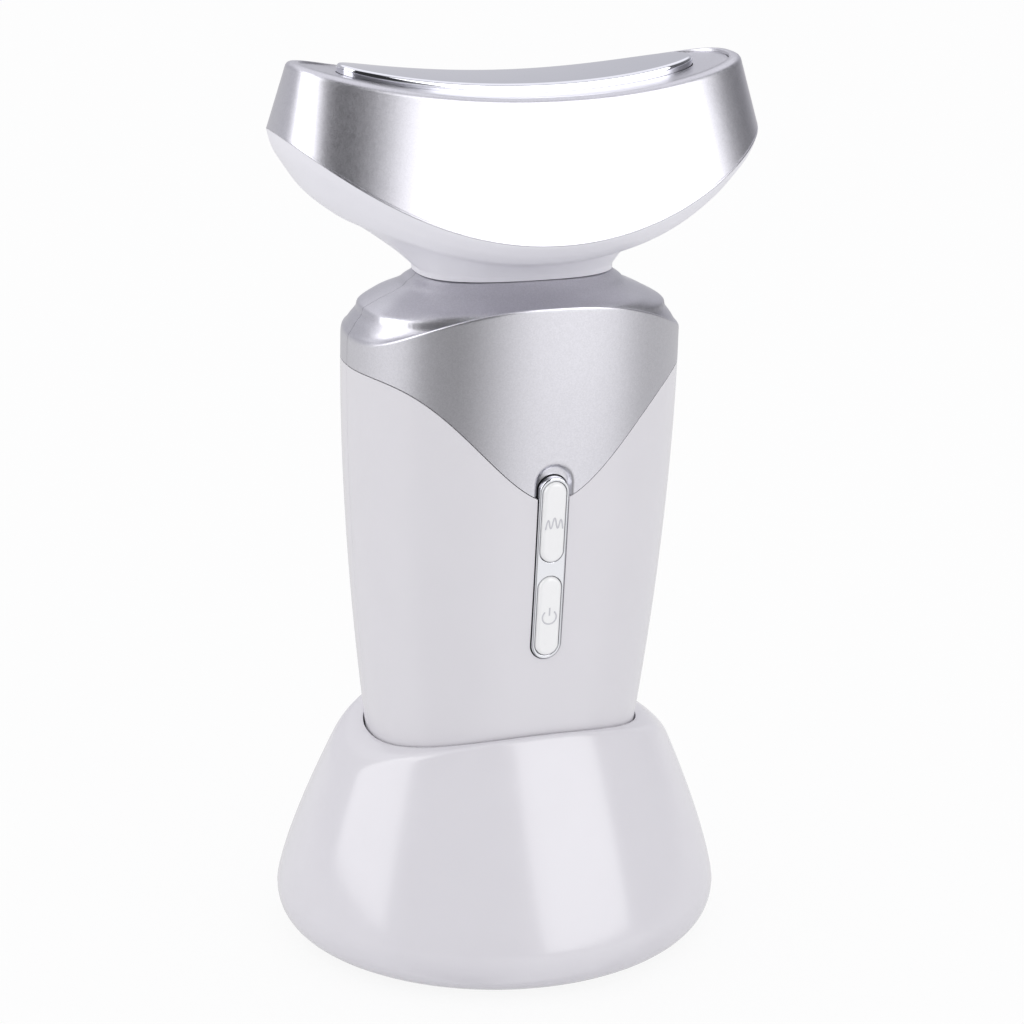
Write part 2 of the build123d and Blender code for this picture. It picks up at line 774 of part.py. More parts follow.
# ---------------------------------------------------------------- collar
def make_collar(side, point):
    """One half of the silver collar: a pointed wall, a ridge, a valley and a shoulder."""
    low = point - 3.0
    collar = grip_form(low, collar_ridge + 2.0) & under_curve(lambda x: ridge_height(side, x))
    valley = oval_prism(
        grip_width - 2 * collar_lip, grip_depth - 2 * collar_lip, low, neck_seam, GRIP_POWER
    )
    collar -= valley & over_curve(lambda x: ridge_height(side, x) - valley_depth)
    collar += dome_form()
    collar -= grip_form(low - 1.0, dome_foot - 0.2, collar_wall)
    ridge_room = oval_prism(ridge_room_width, ridge_room_depth, dome_foot - 1.0, collar_ridge, 2.0)
    roof = valley_depth + collar_skin
    collar -= ridge_room & under_curve(lambda x: ridge_height(side, x) - roof)
    collar -= dome_room()
    gap = collar_bore_gap
    opening = (spigot_width + 2 * gap, spigot_depth + 2 * gap)
    collar -= oval_prism(*opening, dome_edge - 5.0, neck_seam + 5.0)
    return (collar & half_space(side)) - under_curve(collar_edge_height(point))


def make_front_collar():
    collar = make_collar(-1, collar_point_front)
    hole = (bezel_length + 2 * bezel_gap, bezel_width + 2 * bezel_gap)
    collar -= slot_block(*hole, flange_front, grip_wall)
    scoop_end = scoop_top - bezel_middle
    scoop = slot_block(bezel_length, scoop_width, -scoop_depth, grip_wall,
                       scoop_end - bezel_length / 2)
    return collar - scoop


def make_rear_collar():
    return make_collar(1, collar_point_rear)


# ---------------------------------------------------------------- head
def head_post_top(x):
    """A head post ends just under the face frame, which is lowest on its inner side."""
    return rim_height(abs(x) - head_post_radius) - frame_thickness - fit_gap


def make_head_lower_shell():
    start = neck_seam + seam_gap
    straight_top = neck_seam + neck_straight
    shell = flare_form() & under_curve(lambda x: band_low_height(x) - seam_gap)
    shell += oval_prism(neck_width, neck_depth, start, straight_top)
    room = flare_form(head_wall, head_lift)
    for x, y in head_post_places:
        room -= column(x, y, neck_seam, bracket_low, head_post_radius + 1.0)
    shell -= room
    for x, y in head_post_places:
        shell += column(x, y, bracket_low - 1.0, head_post_top(x), head_post_radius)
    spigot_low = dome_edge - spigot_length
    shell += oval_prism(spigot_width, spigot_depth, spigot_low, start + 0.5)
    flange_top = neck_seam - collar_skin - 1.0
    flange = (spigot_width + 2.0, spigot_depth + 2.0)
    shell += oval_prism(*flange, flange_top - 1.6, flange_top)
    bore = (spigot_width - 2 * head_wall, spigot_depth - 2 * head_wall)
    shell -= oval_prism(*bore, spigot_low - 1.0, straight_top + head_lift + 2.0)
    for x, y in head_post_places:
        top = head_post_top(x) + 1.0
        shell -= column(x, y, top - head_screw_length, top, screw_radius + screw_clearance)
    return shell


def make_head_band():
    band = band_form() & under_curve(rim_height)
    return band - band_form(head_wall) - under_curve(band_low_height)


def make_face_frame():
    frame = band_form(head_wall + seam_gap) & under_curve(rim_height)
    frame -= under_curve(lambda x: rim_height(x) - frame_thickness)
    seat = plate_thickness - plate_edge + plate_seat_gap
    frame -= plate_prism(seam_gap) & over_curve(lambda x: rim_height(x) - seat)
    film_room = plate_prism(-plate_ledge)
    frame -= film_room & over_curve(lambda x: rim_height(x) - seat - film_thickness - 0.1)
    for x, y in head_post_places:
        bottom = rim_height(x) - frame_seat
        frame -= column(x, y, band_low_middle, rim_tip + 5.0, screw_radius + 0.2)
        frame -= column(x, y, bottom, rim_tip + 5.0, screw_head_radius + 0.2)
    return frame


def plate_prism(gap):
    """The electrode plate's outline as an upright prism, larger by gap all round."""
    size = (plate_width + 2 * gap, plate_depth + 2 * gap)
    return oval_prism(*size, rim_middle - 5.0, rim_tip + 5.0)


def crowned_bar(low, edge, crown, half_depth):
    """A bar along the rim's arch: flat below, and bulging by crown above its edges."""
    rise = rim_tip - rim_middle
    half = rim_width / 2
    radius = (half ** 2 + rise ** 2) / (2 * rise)
    axis = Axis((0, 0, rim_middle + radius), (0, 1, 0))
    profile = make_face(
        Polyline((-half_depth, edge), (-half_depth, low), (half_depth, low), (half_depth, edge))
        + ThreePointArc((half_depth, edge), (0, edge + crown), (-half_depth, edge))
    )
    middle = Plane(origin=(0, 0, rim_middle), x_dir=(0, 1, 0), z_dir=(1, 0, 0))
    sweep_angle = 2 * degrees(atan(half / radius))
    return revolve((middle * profile).rotate(axis, -sweep_angle / 2), axis, sweep_angle)


def make_electrode_plate():
    bar = crowned_bar(plate_edge - plate_thickness, plate_edge, plate_crown, plate_depth)
    return bar & plate_prism(0.0)


def make_heater_film():
    top = plate_edge - plate_thickness - plate_seat_gap / 2
    bar = crowned_bar(top - film_thickness, top - 0.01, 0.005, film_depth / 2)
    half = film_width / 2
    return bar & box_between((-half, -FAR, rim_middle - 5.0), (half, FAR, rim_tip + 5.0))


def make_head_screws():
    screws = []
    for x, y in head_post_places:
        seat = rim_height(x) - frame_seat
        shank = column(x, y, head_post_top(x) - head_screw_length + 1.5, seat, screw_radius)
        screws.append(shank + column(x, y, seat, seat + 0.5, screw_head_radius))
    return Compound(screws)


def make_motor_bracket():
    bracket = oval_prism(bracket_width, bracket_depth, bracket_low, bracket_top)
    low, high = motor_start + 3.0, motor_end - 3.0
    saddle_half = motor_radius + 2.0
    bracket += box_between((low, -saddle_half, bracket_top), (high, saddle_half, motor_height))
    bracket -= rod((low - 1, 0, motor_height), (high + 1, 0, motor_height), motor_radius + fit_gap)
    for x, y in head_post_places:
        bracket -= column(x, y, neck_seam, rim_middle, head_post_radius + fit_gap)
    return bracket


def make_vibration_motor():
    can = rod((motor_start, 0, motor_height), (motor_end, 0, motor_height), motor_radius)
    can = fillet(can.edges(), 0.5)
    can += rod((motor_end - 0.1, 0, motor_height), (motor_end + 0.8, 0, motor_height), 2.0)
    bore_radius = motor_shaft_radius + motor_shaft_clearance
    bore = rod((motor_end - 8.0, 0, motor_height), (motor_end + 2.0, 0, motor_height), bore_radius)
    return can - bore


def make_motor_shaft():
    end = motor_end + 1.6 + weight_length + 0.8
    return rod((motor_end - 7.5, 0, motor_height), (end, 0, motor_height), motor_shaft_radius)


def make_eccentric_weight():
    start = motor_end + 1.6
    end = start + weight_length
    disc = rod((start, 0, motor_height), (end, 0, motor_height), weight_radius)
    above = motor_height + 2 * motor_shaft_radius
    disc -= box_between((start - 1, -10, above), (end + 1, 10, above + 10))
    disc += rod((start, 0, motor_height), (end, 0, motor_height), motor_shaft_radius + 1.1)
    return disc - rod((start - 1, 0, motor_height), (end + 1, 0, motor_height), motor_shaft_radius)


# ---------------------------------------------------------------- export
makers = {
    "cradle_shell": make_cradle_shell,
    "cradle_base_plate": make_cradle_base_plate,
    "cradle_feet": make_cradle_feet,
    "cradle_screws": make_cradle_screws,
    "dock_board": make_dock_board,
    "dock_board_screws": make_dock_board_screws,
    "pin_block": make_pin_block,
    "charge_pin_left": lambda: make_charge_pin(pin_places[0]),
    "charge_pin_right": lambda: make_charge_pin(pin_places[1]),
    "charging_inlet": make_charging_inlet,
    "foot_cap": make_foot_cap,
    "charge_contacts": make_charge_contacts,
    "front_shell": make_front_shell,
    "rear_shell": make_rear_shell,
    "shell_screws": make_shell_screws,
    "main_board": make_main_board,
    "board_screws": make_board_screws,
    "tact_switches": make_tact_switches,
    "button_bezel": make_button_bezel,
    "mode_button": lambda: make_button(button_places[0]),
    "power_button": lambda: make_button(button_places[1]),
    "battery_cell": make_battery_cell,
    "battery_tray": make_battery_tray,
    "front_collar": make_front_collar,
    "rear_collar": make_rear_collar,
    "head_lower_shell": make_head_lower_shell,
    "head_band": make_head_band,
    "face_frame": make_face_frame,
    "electrode_plate": make_electrode_plate,
    "heater_film": make_heater_film,
    "head_screws": make_head_screws,
    "motor_bracket": make_motor_bracket,
    "vibration_motor": make_vibration_motor,
    "motor_shaft": make_motor_shaft,
    "eccentric_weight": make_eccentric_weight,
}

os.makedirs("parts", exist_ok=True)
for name, make in makers.items():
    export_step(make(), f"parts/{name}.step")
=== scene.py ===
from math import acos, atan, atan2, copysign, cos, hypot, pi, radians, sin

import bmesh
import bpy
from mathutils import Matrix, Vector


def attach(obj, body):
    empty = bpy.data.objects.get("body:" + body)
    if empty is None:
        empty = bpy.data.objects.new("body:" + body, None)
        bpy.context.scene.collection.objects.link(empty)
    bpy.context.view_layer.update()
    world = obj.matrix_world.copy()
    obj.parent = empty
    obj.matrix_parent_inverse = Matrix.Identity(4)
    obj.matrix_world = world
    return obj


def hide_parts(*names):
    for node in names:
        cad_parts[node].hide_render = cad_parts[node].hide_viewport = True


# A facial toning handset in its charging cradle. Lengths in this file are in millimetres, with z
# up from the table and the handset's front towards minus y. A finished mesh is turned into metres
# once, when its object is made. A half is a pair: half a width along x, half a depth along y.
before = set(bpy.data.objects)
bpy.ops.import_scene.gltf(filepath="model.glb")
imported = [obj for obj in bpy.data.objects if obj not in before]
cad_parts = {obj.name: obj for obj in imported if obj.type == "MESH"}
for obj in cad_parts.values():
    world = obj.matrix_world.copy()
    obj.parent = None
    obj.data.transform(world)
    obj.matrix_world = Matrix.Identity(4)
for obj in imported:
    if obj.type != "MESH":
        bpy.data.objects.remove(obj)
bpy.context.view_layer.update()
scene = bpy.context.scene
MM = 0.001
PER_METRE = 1000.0


# ---------------------------------------------------------------- materials
def tone(code):
    """An sRGB hex colour as linear numbers."""
    parts = [int(code[at:at + 2], 16) / 255 for at in (1, 3, 5)]
    linear = [p / 12.92 if p <= 0.04045 else ((p + 0.055) / 1.055) ** 2.4 for p in parts]
    return (*linear, 1.0)


def add_node(tree, kind, values=None, links=None):
    """A node with its settings, socket values and incoming links."""
    node = tree.nodes.new(kind)
    for key, value in (values or {}).items():
        if isinstance(key, str) and hasattr(node, key):
            setattr(node, key, value)
        else:
            node.inputs[key].default_value = value
    for key, source in (links or {}).items():
        tree.links.new(source, node.inputs[key])
    return node


def start_material(name, colour, roughness, metallic=0.0, ior=1.5):
    """A material whose shader holds the plain values of its surface."""
    material = bpy.data.materials.new(name)
    material.use_nodes = True
    tree = material.node_tree
    shader = tree.nodes["Principled BSDF"]
    shader.inputs["Base Color"].default_value = tone(colour)
    shader.inputs["Roughness"].default_value = roughness
    shader.inputs["Metallic"].default_value = metallic
    shader.inputs["IOR"].default_value = ior
    return material, tree, shader


def patches(tree, size, detail=2.0, stretch=(1, 1, 1)):
    """A soft pattern with patches of a size in millimetres."""
    place = add_node(tree, "ShaderNodeTexCoord")
    mapping = add_node(tree, "ShaderNodeMapping", {"Scale": stretch},
                       {"Vector": place.outputs["Object"]})
    noise = add_node(tree, "ShaderNodeTexNoise", {"Scale": PER_METRE / size, "Detail": detail},
                     {"Vector": mapping.outputs["Vector"]})
    return noise.outputs["Fac"]


def flakes(tree, size):
    """A pattern of flat grains, each of one value."""
    place = add_node(tree, "ShaderNodeTexCoord")
    grains = add_node(tree, "ShaderNodeTexVoronoi", {"Scale": PER_METRE / size},
                      {"Vector": place.outputs["Object"]})
    return grains.outputs["Color"]


def lead(tree, shader, pattern, tones, rough, depth, strength=0.4):
    """Lets one pattern lead a surface's colour, its roughness, and a relief of a depth."""
    colour = add_node(tree, "ShaderNodeMix",
                      {"data_type": "RGBA", 6: tone(tones[0]), 7: tone(tones[1])}, {0: pattern})
    spread = add_node(tree, "ShaderNodeMapRange", {"To Min": rough[0], "To Max": rough[1]},
                      {"Value": pattern})
    relief = add_node(tree, "ShaderNodeBump", {"Strength": strength, "Distance": depth * MM},
                      {"Height": pattern})
    tree.links.new(colour.outputs[2], shader.inputs["Base Color"])
    tree.links.new(spread.outputs["Result"], shader.inputs["Roughness"])
    tree.links.new(relief.outputs["Normal"], shader.inputs["Normal"])


def moulded_plastic(name, low, high, roughness, ior=1.53, size=9.0, depth=0.01):
    """A moulding whose tone and gloss drift a little from place to place."""
    material, tree, shader = start_material(name, low, roughness, 0.0, ior)
    rough = (roughness * 0.85, roughness * 1.15)
    lead(tree, shader, patches(tree, size), (low, high), rough, depth)
    return material


def metallic_lacquer(name, low, middle, high, roughness, rough):
    """Silver lacquer on ABS: fine aluminium flake, each at its own small tilt."""
    material, tree, shader = start_material(name, middle, roughness, 0.95)
    # Real flake is about 0.03 mm, too fine to show, so it is drawn at 0.21 mm.
    lead(tree, shader, flakes(tree, 0.21), (low, high), rough, 0.01, 0.12)
    return material


def plated_metal(name, low, high, roughness):
    """Polished plating, which is never quite flat over a large face."""
    material, tree, shader = start_material(name, low, roughness, 1.0)
    rough = (roughness * 0.7, roughness * 1.4)
    lead(tree, shader, patches(tree, 14.0), (low, high), rough, 0.004)
    return material


def streaked_metal(name, low, high, roughness):
    """Drawn or turned metal, with fine upright streaks ten times as long as they are wide."""
    material, tree, shader = start_material(name, low, roughness, 1.0)
    rough = (roughness * 0.8, roughness * 1.2)
    lead(tree, shader, patches(tree, 0.6, 4.0, (1, 1, 0.1)), (low, high), rough, 0.01)
    return material


# A polished mould gives the cradle a clear gloss, with lamps seen as soft-edged bands.
CRADLE_WHITE = moulded_plastic("ABS, gloss white", "#dad8de", "#dddbe1", 0.17, 1.54)
# The grip's mould is lightly blasted, so lamps only lift its white a little.
GRIP_WHITE = moulded_plastic("ABS, satin white", "#dcdadf", "#dfdde2", 0.22)
# The head's mould is blasted more, for a softer gloss. Its white is painted lighter than the
# grip's, a painted lift against the shade that falls on the neck under the head.
HEAD_WHITE_LIFTED_OUT_OF_SHADE = moulded_plastic("ABS, white of the head, lifted against its shade", "#ecebf1", "#f0eff5", 0.38, 1.45)
# The caps are polished, and a cleaner white than the grip round them.
BUTTON_WHITE = moulded_plastic("ABS, button white", "#f0f0f1", "#f4f4f5", 0.16)
# Sprayed aluminium flake spreads each lamp into a broad, finely grained glow.
SILVER = metallic_lacquer("Silver lacquer", "#c3c2c8", "#c9c8cd", "#cfced4", 0.34, (0.31, 0.38))
# Bright plating over a polished plate is a near mirror with a faint waviness.
CHROME = plated_metal("Chrome plate", "#dadbe1", "#e4e4ea", 0.05)
# Over moulded plastic the plating is a little duller.
BEZEL_CHROME = plated_metal("Chrome plate on ABS", "#cccdd2", "#d6d7db", 0.07)
# Moulded rubber is matt, with a fine skin texture.
RUBBER = moulded_plastic("Silicone rubber", "#4a4a4d", "#57575a", 0.7, 1.43, 0.8, 0.05)
# Zinc plating is a soft blue grey, over the streaks of the drawn wire.
STEEL = streaked_metal("Zinc plated steel", "#a9abae", "#bcbdbf", 0.3)
# Drawn stainless sheet is smoother than plated steel, and a shade darker.
INLET_STEEL = streaked_metal("Stainless steel", "#a3a5a8", "#b4b5b7", 0.25)
# A spark eroded mould leaves the base with an even, matt grain.
BASE_GREY = moulded_plastic("ABS, grey, spark eroded", "#b9b8bd", "#c2c1c6", 0.5, 1.53, 0.5, 0.06)
# Plain inner mouldings are dark and half matt.
BLACK_NYLON = moulded_plastic("Nylon, black", "#1d1d1f", "#2a2a2c", 0.45, 1.53, 0.7, 0.04)
# Solder mask over glass cloth is green and shiny, and not quite even.
BOARD = moulded_plastic("Glass epoxy board", "#1f5a3c", "#2a6b48", 0.35, 1.55, 0.9, 0.03)
# Gold plating on turned brass is warm and bright.
GOLD = streaked_metal("Gold plated brass", "#d2a54a", "#e0b65c", 0.22)
# The shrunk sleeve of the cell is a smooth, coloured film.
CELL_WRAP = moulded_plastic("PVC cell wrap", "#2e5b8c", "#38679a", 0.3, 1.53, 5.0, 0.02)
# Polyimide is an amber film with a clear gloss.
FILM = moulded_plastic("Polyimide film", "#b5651d", "#c47a2c", 0.25, 1.7, 3.0, 0.01)
# Sintered tungsten is a dull, warm grey.
TUNGSTEN = streaked_metal("Sintered tungsten alloy", "#8f8a80", "#a19c92", 0.4)
# The marks stand a little proud of the caps, in a pale grey that is painted shade of their relief.
RELIEF_SHADE_GREY = moulded_plastic("Grey painted as the marks' shade", "#c4c4ca", "#cdcdd2", 0.35, 1.5, 0.5, 0.01)


# ---------------------------------------------------------------- shapes shared by pieces
def oval(turn, half, power):
    """A point of a superellipse at an angle round it."""
    c, s = cos(turn), sin(turn)
    x = copysign(abs(c) ** (2 / power), c) * half[0]
    y = copysign(abs(s) ** (2 / power), s) * half[1]
    return x, y


def on_oval(turn, half, power, z):
    """A point of a level superellipse at a height."""
    return Vector((*oval(turn, half, power), z))


def inset(half, amount):
    return half[0] - amount, half[1] - amount


def full_turn(count):
    return [2 * pi * step / count for step in range(count)]


def half_turn(side, count, edge=0.0016):
    """Angles over one half, with a narrow column at each end for the parting line."""
    inner = [edge + (pi - 2 * edge) * step / count for step in range(count + 1)]
    return [side * turn for turn in [0.0, *inner, pi]]


def parting(turn, depth):
    """How far the last columns draw in, which makes the fine groove between two halves."""
    return depth if min(abs(turn), pi - abs(turn)) < 0.001 else 0.0


def eased(points, share):
    """A smooth value through points (at, value), after Catmull and Rom."""
    if share <= points[0][0]:
        return points[0][1]
    for index in range(len(points) - 1):
        (x1, y1), (x2, y2) = points[index], points[index + 1]
        if share <= x2:
            x0, y0 = points[index - 1] if index else points[index]
            x3, y3 = points[index + 2] if index + 2 < len(points) else points[index + 1]
            step = x2 - x1
            start = (y2 - y0) / (x2 - x0) * step
            end = (y3 - y1) / (x3 - x1) * step
            t = (share - x1) / step
            return (y1 * (2 * t ** 3 - 3 * t ** 2 + 1) + start * (t ** 3 - 2 * t ** 2 + t)
                    + y2 * (3 * t ** 2 - 2 * t ** 3) + end * (t ** 3 - t ** 2))
    return points[-1][1]


def curved_corner(start, corner, end, share):
    """A point of the round between two straight runs."""
    a, b = start.lerp(corner, share), corner.lerp(end, share)
    return a.lerp(b, share)


def rounding(start, corner, end, count, first=1):
    """The points of a round; first is 0 where it begins the surface, and 1 where it goes on."""
    return [curved_corner(start, corner, end, step / count) for step in range(first, count + 1)]


def grow(turns, column, closed=True, looped=False):
    """A surface extruded row by row from a ring of edges.

    column(turn) lists the points of one column in millimetres, first row first.
    """
    bm = bmesh.new()
    mark = bm.verts.layers.float.new("turn")
    if closed:
        bmesh.ops.create_circle(bm, segments=len(turns), radius=1.0)
        ordered = sorted(bm.verts, key=lambda v: atan2(v.co.y, v.co.x) % (2 * pi))
    else:
        seed = bmesh.ops.create_vert(bm, co=(1, 0, 0))["vert"]
        bmesh.ops.spin(bm, geom=seed, cent=(0, 0, 0), axis=(0, 0, 1), angle=pi,
                       steps=len(turns) - 1)
        ordered = sorted(bm.verts, key=lambda v: acos(max(-1, min(1, v.co.x))))
    for vert, turn in zip(ordered, turns):
        vert[mark] = turn
    columns = {vert[mark]: column(vert[mark]) for vert in ordered}
    rows = len(columns[ordered[0][mark]])
    first = list(bm.edges)
    edges, verts = first, ordered
    for row in range(rows):
        if row:
            made = bmesh.ops.extrude_edge_only(bm, edges=edges)["geom"]
            verts = [item for item in made if isinstance(item, bmesh.types.BMVert)]
            new = set(verts)
            edges = [item for item in made if isinstance(item, bmesh.types.BMEdge)
                     and item.verts[0] in new and item.verts[1] in new]
        for vert in verts:
            vert.co = columns[vert[mark]][row]
    if looped:
        bmesh.ops.bridge_loops(bm, edges=first + edges)
    return bm


def face_out(bm):
    bmesh.ops.recalc_face_normals(bm, faces=bm.faces)
    return bm


def as_object(bm, name):
    """An object of a bmesh's shape, in metres."""
    mesh = bpy.data.meshes.new(name)
    bm.to_mesh(mesh)
    bm.free()
    mesh.transform(Matrix.Scale(MM, 4))
    made = bpy.data.objects.new(name, mesh)
    scene.collection.objects.link(made)
    return made


def evaluated_mesh(made):
    """A new mesh of an object's shape as its modifiers or its curve give it."""
    bpy.context.view_layer.update()
    graph = bpy.context.evaluated_depsgraph_get()
    return bpy.data.meshes.new_from_object(made.evaluated_get(graph))


def smooth(piece, sharp):
    piece.data.polygons.foreach_set("use_smooth", [True] * len(piece.data.polygons))
    piece.data.set_sharp_from_angle(angle=radians(sharp))


def finish_piece(bm, name, material, body, slot, *nodes, sharp=30.0):
    """Turns a bmesh into a piece of the object, and gives it its place in the frame."""
    piece = as_object(bm, name)
    smooth(piece, sharp)
    piece.data.materials.append(material)
    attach(piece, body)
    if nodes:
        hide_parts(*nodes)
    return piece


def thicken(piece, thickness):
    """Gives a skin its wall, which grows inwards."""
    wall = piece.modifiers.new("Wall", "SOLIDIFY")
    wall.thickness = thickness * MM
    wall.offset = -1.0


def soften(piece, width, angle):
    """Rounds the edges that are sharper than an angle."""
    edge = piece.modifiers.new("Edge", "BEVEL")
    edge.width = width * MM
    edge.segments = 2
    edge.limit_method = "ANGLE"
    edge.angle_limit = radians(angle)


def open_up(piece, cutter_bm, sharp=30.0):
    """Cuts an opening with a closed shape given in millimetres."""
    cutter = as_object(face_out(cutter_bm), "cutter")
    opening = piece.modifiers.new("Opening", "BOOLEAN")
    opening.object = cutter
    opening.operation = "DIFFERENCE"
    opening.solver = "EXACT"
    piece.data = evaluated_mesh(piece)
    piece.modifiers.clear()
    bpy.data.objects.remove(cutter)
    smooth(piece, sharp)


def stadium(length, width, low, high, along=0.0, segments=50):
    """A stadium-ended block, upright on its own axes: width along x, length along y."""
    bm = bmesh.new()
    bmesh.ops.create_circle(bm, segments=segments, radius=width / 2, cap_ends=True)
    bmesh.ops.rotate(bm, verts=bm.verts, cent=(0, 0, 0),
                     matrix=Matrix.Rotation(pi / segments, 3, "Z"))
    for vert in bm.verts:
        vert.co.y += copysign((length - width) / 2, vert.co.y) + along
        vert.co.z = low
    made = bmesh.ops.extrude_face_region(bm, geom=list(bm.faces))["geom"]
    tops = [item for item in made if isinstance(item, bmesh.types.BMVert)]
    bmesh.ops.translate(bm, verts=tops, vec=(0, 0, high - low))
    return face_out(bm)


def round_top(bm, height, radius, segments):
    """Rounds the edges that lie at one height."""
    rim = [edge for edge in bm.edges
           if all(abs(vert.co.z - height) < 1e-4 for vert in edge.verts)]
    bmesh.ops.bevel(bm, geom=rim, offset=radius, offset_type="OFFSET", segments=segments,
                    profile=0.5, affect="EDGES", material=-1, clamp_overlap=True)


# ---------------------------------------------------------------- the grip's form
GRIP_POWER = 2.2
GRIP_LOW, GRIP_RISE, GRIP_CURVE = 14.0, 90.0, 1.8
GRIP_FOOT_HALF = (20.2, 15.9)
GRIP_SWELL = (8.55, 6.55)
GRIP_TOP_HALF = (28.75, 22.45)


def grip_half(z):
    """The grip's half width and half depth at a height."""
    rise = min(max((z - GRIP_LOW) / GRIP_RISE, 0.0), 1.0)
    swell = 1 - (1 - rise) ** GRIP_CURVE
    return tuple(foot + more * swell for foot, more in zip(GRIP_FOOT_HALF, GRIP_SWELL))


# ---------------------------------------------------------------- cradle
CRADLE_POWER = 2.0
CRADLE_LOW, BELLY_Z, CRADLE_HIGH = 0.6, 8.0, 41.9
BELLY_POWER = 2.3
CRADLE_WALL = 2.2
MOUTH_DROP = 5.0
MOUTH = [half + rim for half, rim in zip(grip_half(CRADLE_HIGH), (2.3, 1.7))]
# Half sizes at the foot, the belly and the mouth, and how the wall leans in between the last two.
CRADLE_SIDES = ((30.8, 39.1, MOUTH[0], 1.3), (28.9, 35.9, MOUTH[1], 1.15))
WELL_GAP, WELL_WALL, WELL_ROUND = 0.25, 1.8, 1.2
# Heights of the well's underside, its floor, and the lower end of its side.
WELL_UNDER, WELL_FLOOR, WELL_SIDE = 11.9, 13.7, 14.9
HOLLOW_TOP = 26.0
# The rim's roll is wider at the sides; LAND_SHARE is the most of the land that it may take up.
RIM_ROLL, RIM_ROLL_SIDE, LAND_SHARE = 0.6, 2.8, 0.7
PIN_SLOT, PIN_SLOT_POWER = (6.6, 2.6), 12.0
INLET_LONG, INLET_WIDE, INLET_Z = 9.44, 3.76, 7.43


def cradle_half(z):
    """The cradle's half width and half depth at a height."""
    half = []
    for foot, belly, mouth, lean in CRADLE_SIDES:
        if z < BELLY_Z:
            down = (BELLY_Z - z) / (BELLY_Z - CRADLE_LOW)
            swell = max(1 - down ** BELLY_POWER, 0.0) ** (1 / BELLY_POWER)
            half.append(foot + (belly - foot) * swell)
        else:
            up = (z - BELLY_Z) / (CRADLE_HIGH - BELLY_Z)
            half.append(belly + (mouth - belly) * up ** lean)
    return half


def well_half(z):
    return inset(grip_half(z), -WELL_GAP)


def mouth_height(x):
    """Height of the mouth, which is lower at its sides than in front and behind."""
    return CRADLE_HIGH - MOUTH_DROP * (x / MOUTH[0]) ** 2


def at_mouth(turn, half_at, power):
    """Where an upright wall meets the saddle of the mouth."""
    z = CRADLE_HIGH
    for _ in range(8):
        x, y = oval(turn, half_at(z), power)
        z = mouth_height(x)
    return x, y, z


def cradle_shell():
    """Outer wall, rolled rim, saddle-shaped land, well, and the hollow underneath."""
    low_steps, side_steps, rim_steps, well_steps = 12, 26, 9, 10
    lip_reach, lip_drop = 0.25, 0.3
    foot_ring = (inset(cradle_half(CRADLE_LOW), CRADLE_WALL), CRADLE_POWER, CRADLE_LOW)
    # Level rings from the slot for the pins round the well's underside and down the hollow.
    hollow_rings = (
        (PIN_SLOT, PIN_SLOT_POWER, WELL_FLOOR),
        (PIN_SLOT, PIN_SLOT_POWER, WELL_UNDER),
        (inset(well_half(WELL_UNDER), -WELL_WALL), GRIP_POWER, WELL_UNDER),
        (inset(well_half(HOLLOW_TOP), -WELL_WALL), GRIP_POWER, HOLLOW_TOP),
        (inset(cradle_half(HOLLOW_TOP), CRADLE_WALL), CRADLE_POWER, HOLLOW_TOP),
        (inset(cradle_half(BELLY_Z), CRADLE_WALL), CRADLE_POWER, BELLY_Z),
    )

    def outer_wall(turn, high):
        """From the foot round the belly and up to the start of the rim."""
        points = []
        for step in range(low_steps + 1):
            lift = step / low_steps * pi / 2
            z = BELLY_Z - (BELLY_Z - CRADLE_LOW) * cos(lift) ** (2 / BELLY_POWER)
            points.append(on_oval(turn, cradle_half(z), CRADLE_POWER, z))
        for step in range(1, side_steps + 1):
            z = BELLY_Z + (high - BELLY_Z) * step / side_steps
            points.append(on_oval(turn, cradle_half(z), CRADLE_POWER, z))
        return points

    def rim(turn, corner, slot, reach, low):
        """The roll of the rim, the land, and the small round into the well."""
        start = on_oval(turn, cradle_half(low), CRADLE_POWER, low)
        end = corner.lerp(slot, min(reach / (slot - corner).length, LAND_SHARE))
        lip = slot + (corner - slot).normalized() * lip_reach
        down = slot - Vector((0, 0, lip_drop))
        return [*rounding(start, corner, end, rim_steps),
                *(end.lerp(lip, step / 3) for step in range(1, 4)),
                *rounding(lip, slot, down, 2)]

    def well(turn, high):
        """Down the well's side and round to its floor."""
        points = []
        for step in range(1, well_steps + 1):
            z = high + (WELL_SIDE - high) * step / well_steps
            points.append(on_oval(turn, well_half(z), GRIP_POWER, z))
        side = on_oval(turn, well_half(WELL_SIDE), GRIP_POWER, WELL_SIDE)
        foot = on_oval(turn, well_half(WELL_FLOOR), GRIP_POWER, WELL_FLOOR)
        floor = on_oval(turn, inset(well_half(WELL_FLOOR), WELL_ROUND), GRIP_POWER, WELL_FLOOR)
        return [*points, *rounding(side, foot, floor, 3)]

    def column(turn):
        top = at_mouth(turn, cradle_half, CRADLE_POWER)
        slot = Vector(at_mouth(turn, well_half, GRIP_POWER))
        reach = RIM_ROLL + RIM_ROLL_SIDE * abs(cos(turn)) ** 6
        low = top[2] - reach
        return [
            on_oval(turn, *foot_ring),
            *outer_wall(turn, low),
            *rim(turn, Vector(top), slot, reach, low),
            *well(turn, (slot - Vector((0, 0, lip_drop))).z),
            *(on_oval(turn, *ring) for ring in hollow_rings),
        ]

    bm = face_out(grow(full_turn(192), column, looped=True))
    return finish_piece(bm, "cradle_skin", CRADLE_WHITE, "cradle", "cradle_white", "cradle_shell")


def inlet_opening():
    """The stadium-ended hole at the back of the cradle, for the charging inlet."""
    hole = stadium(INLET_LONG, INLET_WIDE, 22.0, 45.0)
    to_the_back = Matrix(((0, 1, 0, 0), (0, 0, 1, 0), (1, 0, 0, INLET_Z), (0, 0, 0, 1)))
    bmesh.ops.transform(hole, verts=hole.verts, matrix=to_the_back)
    return hole


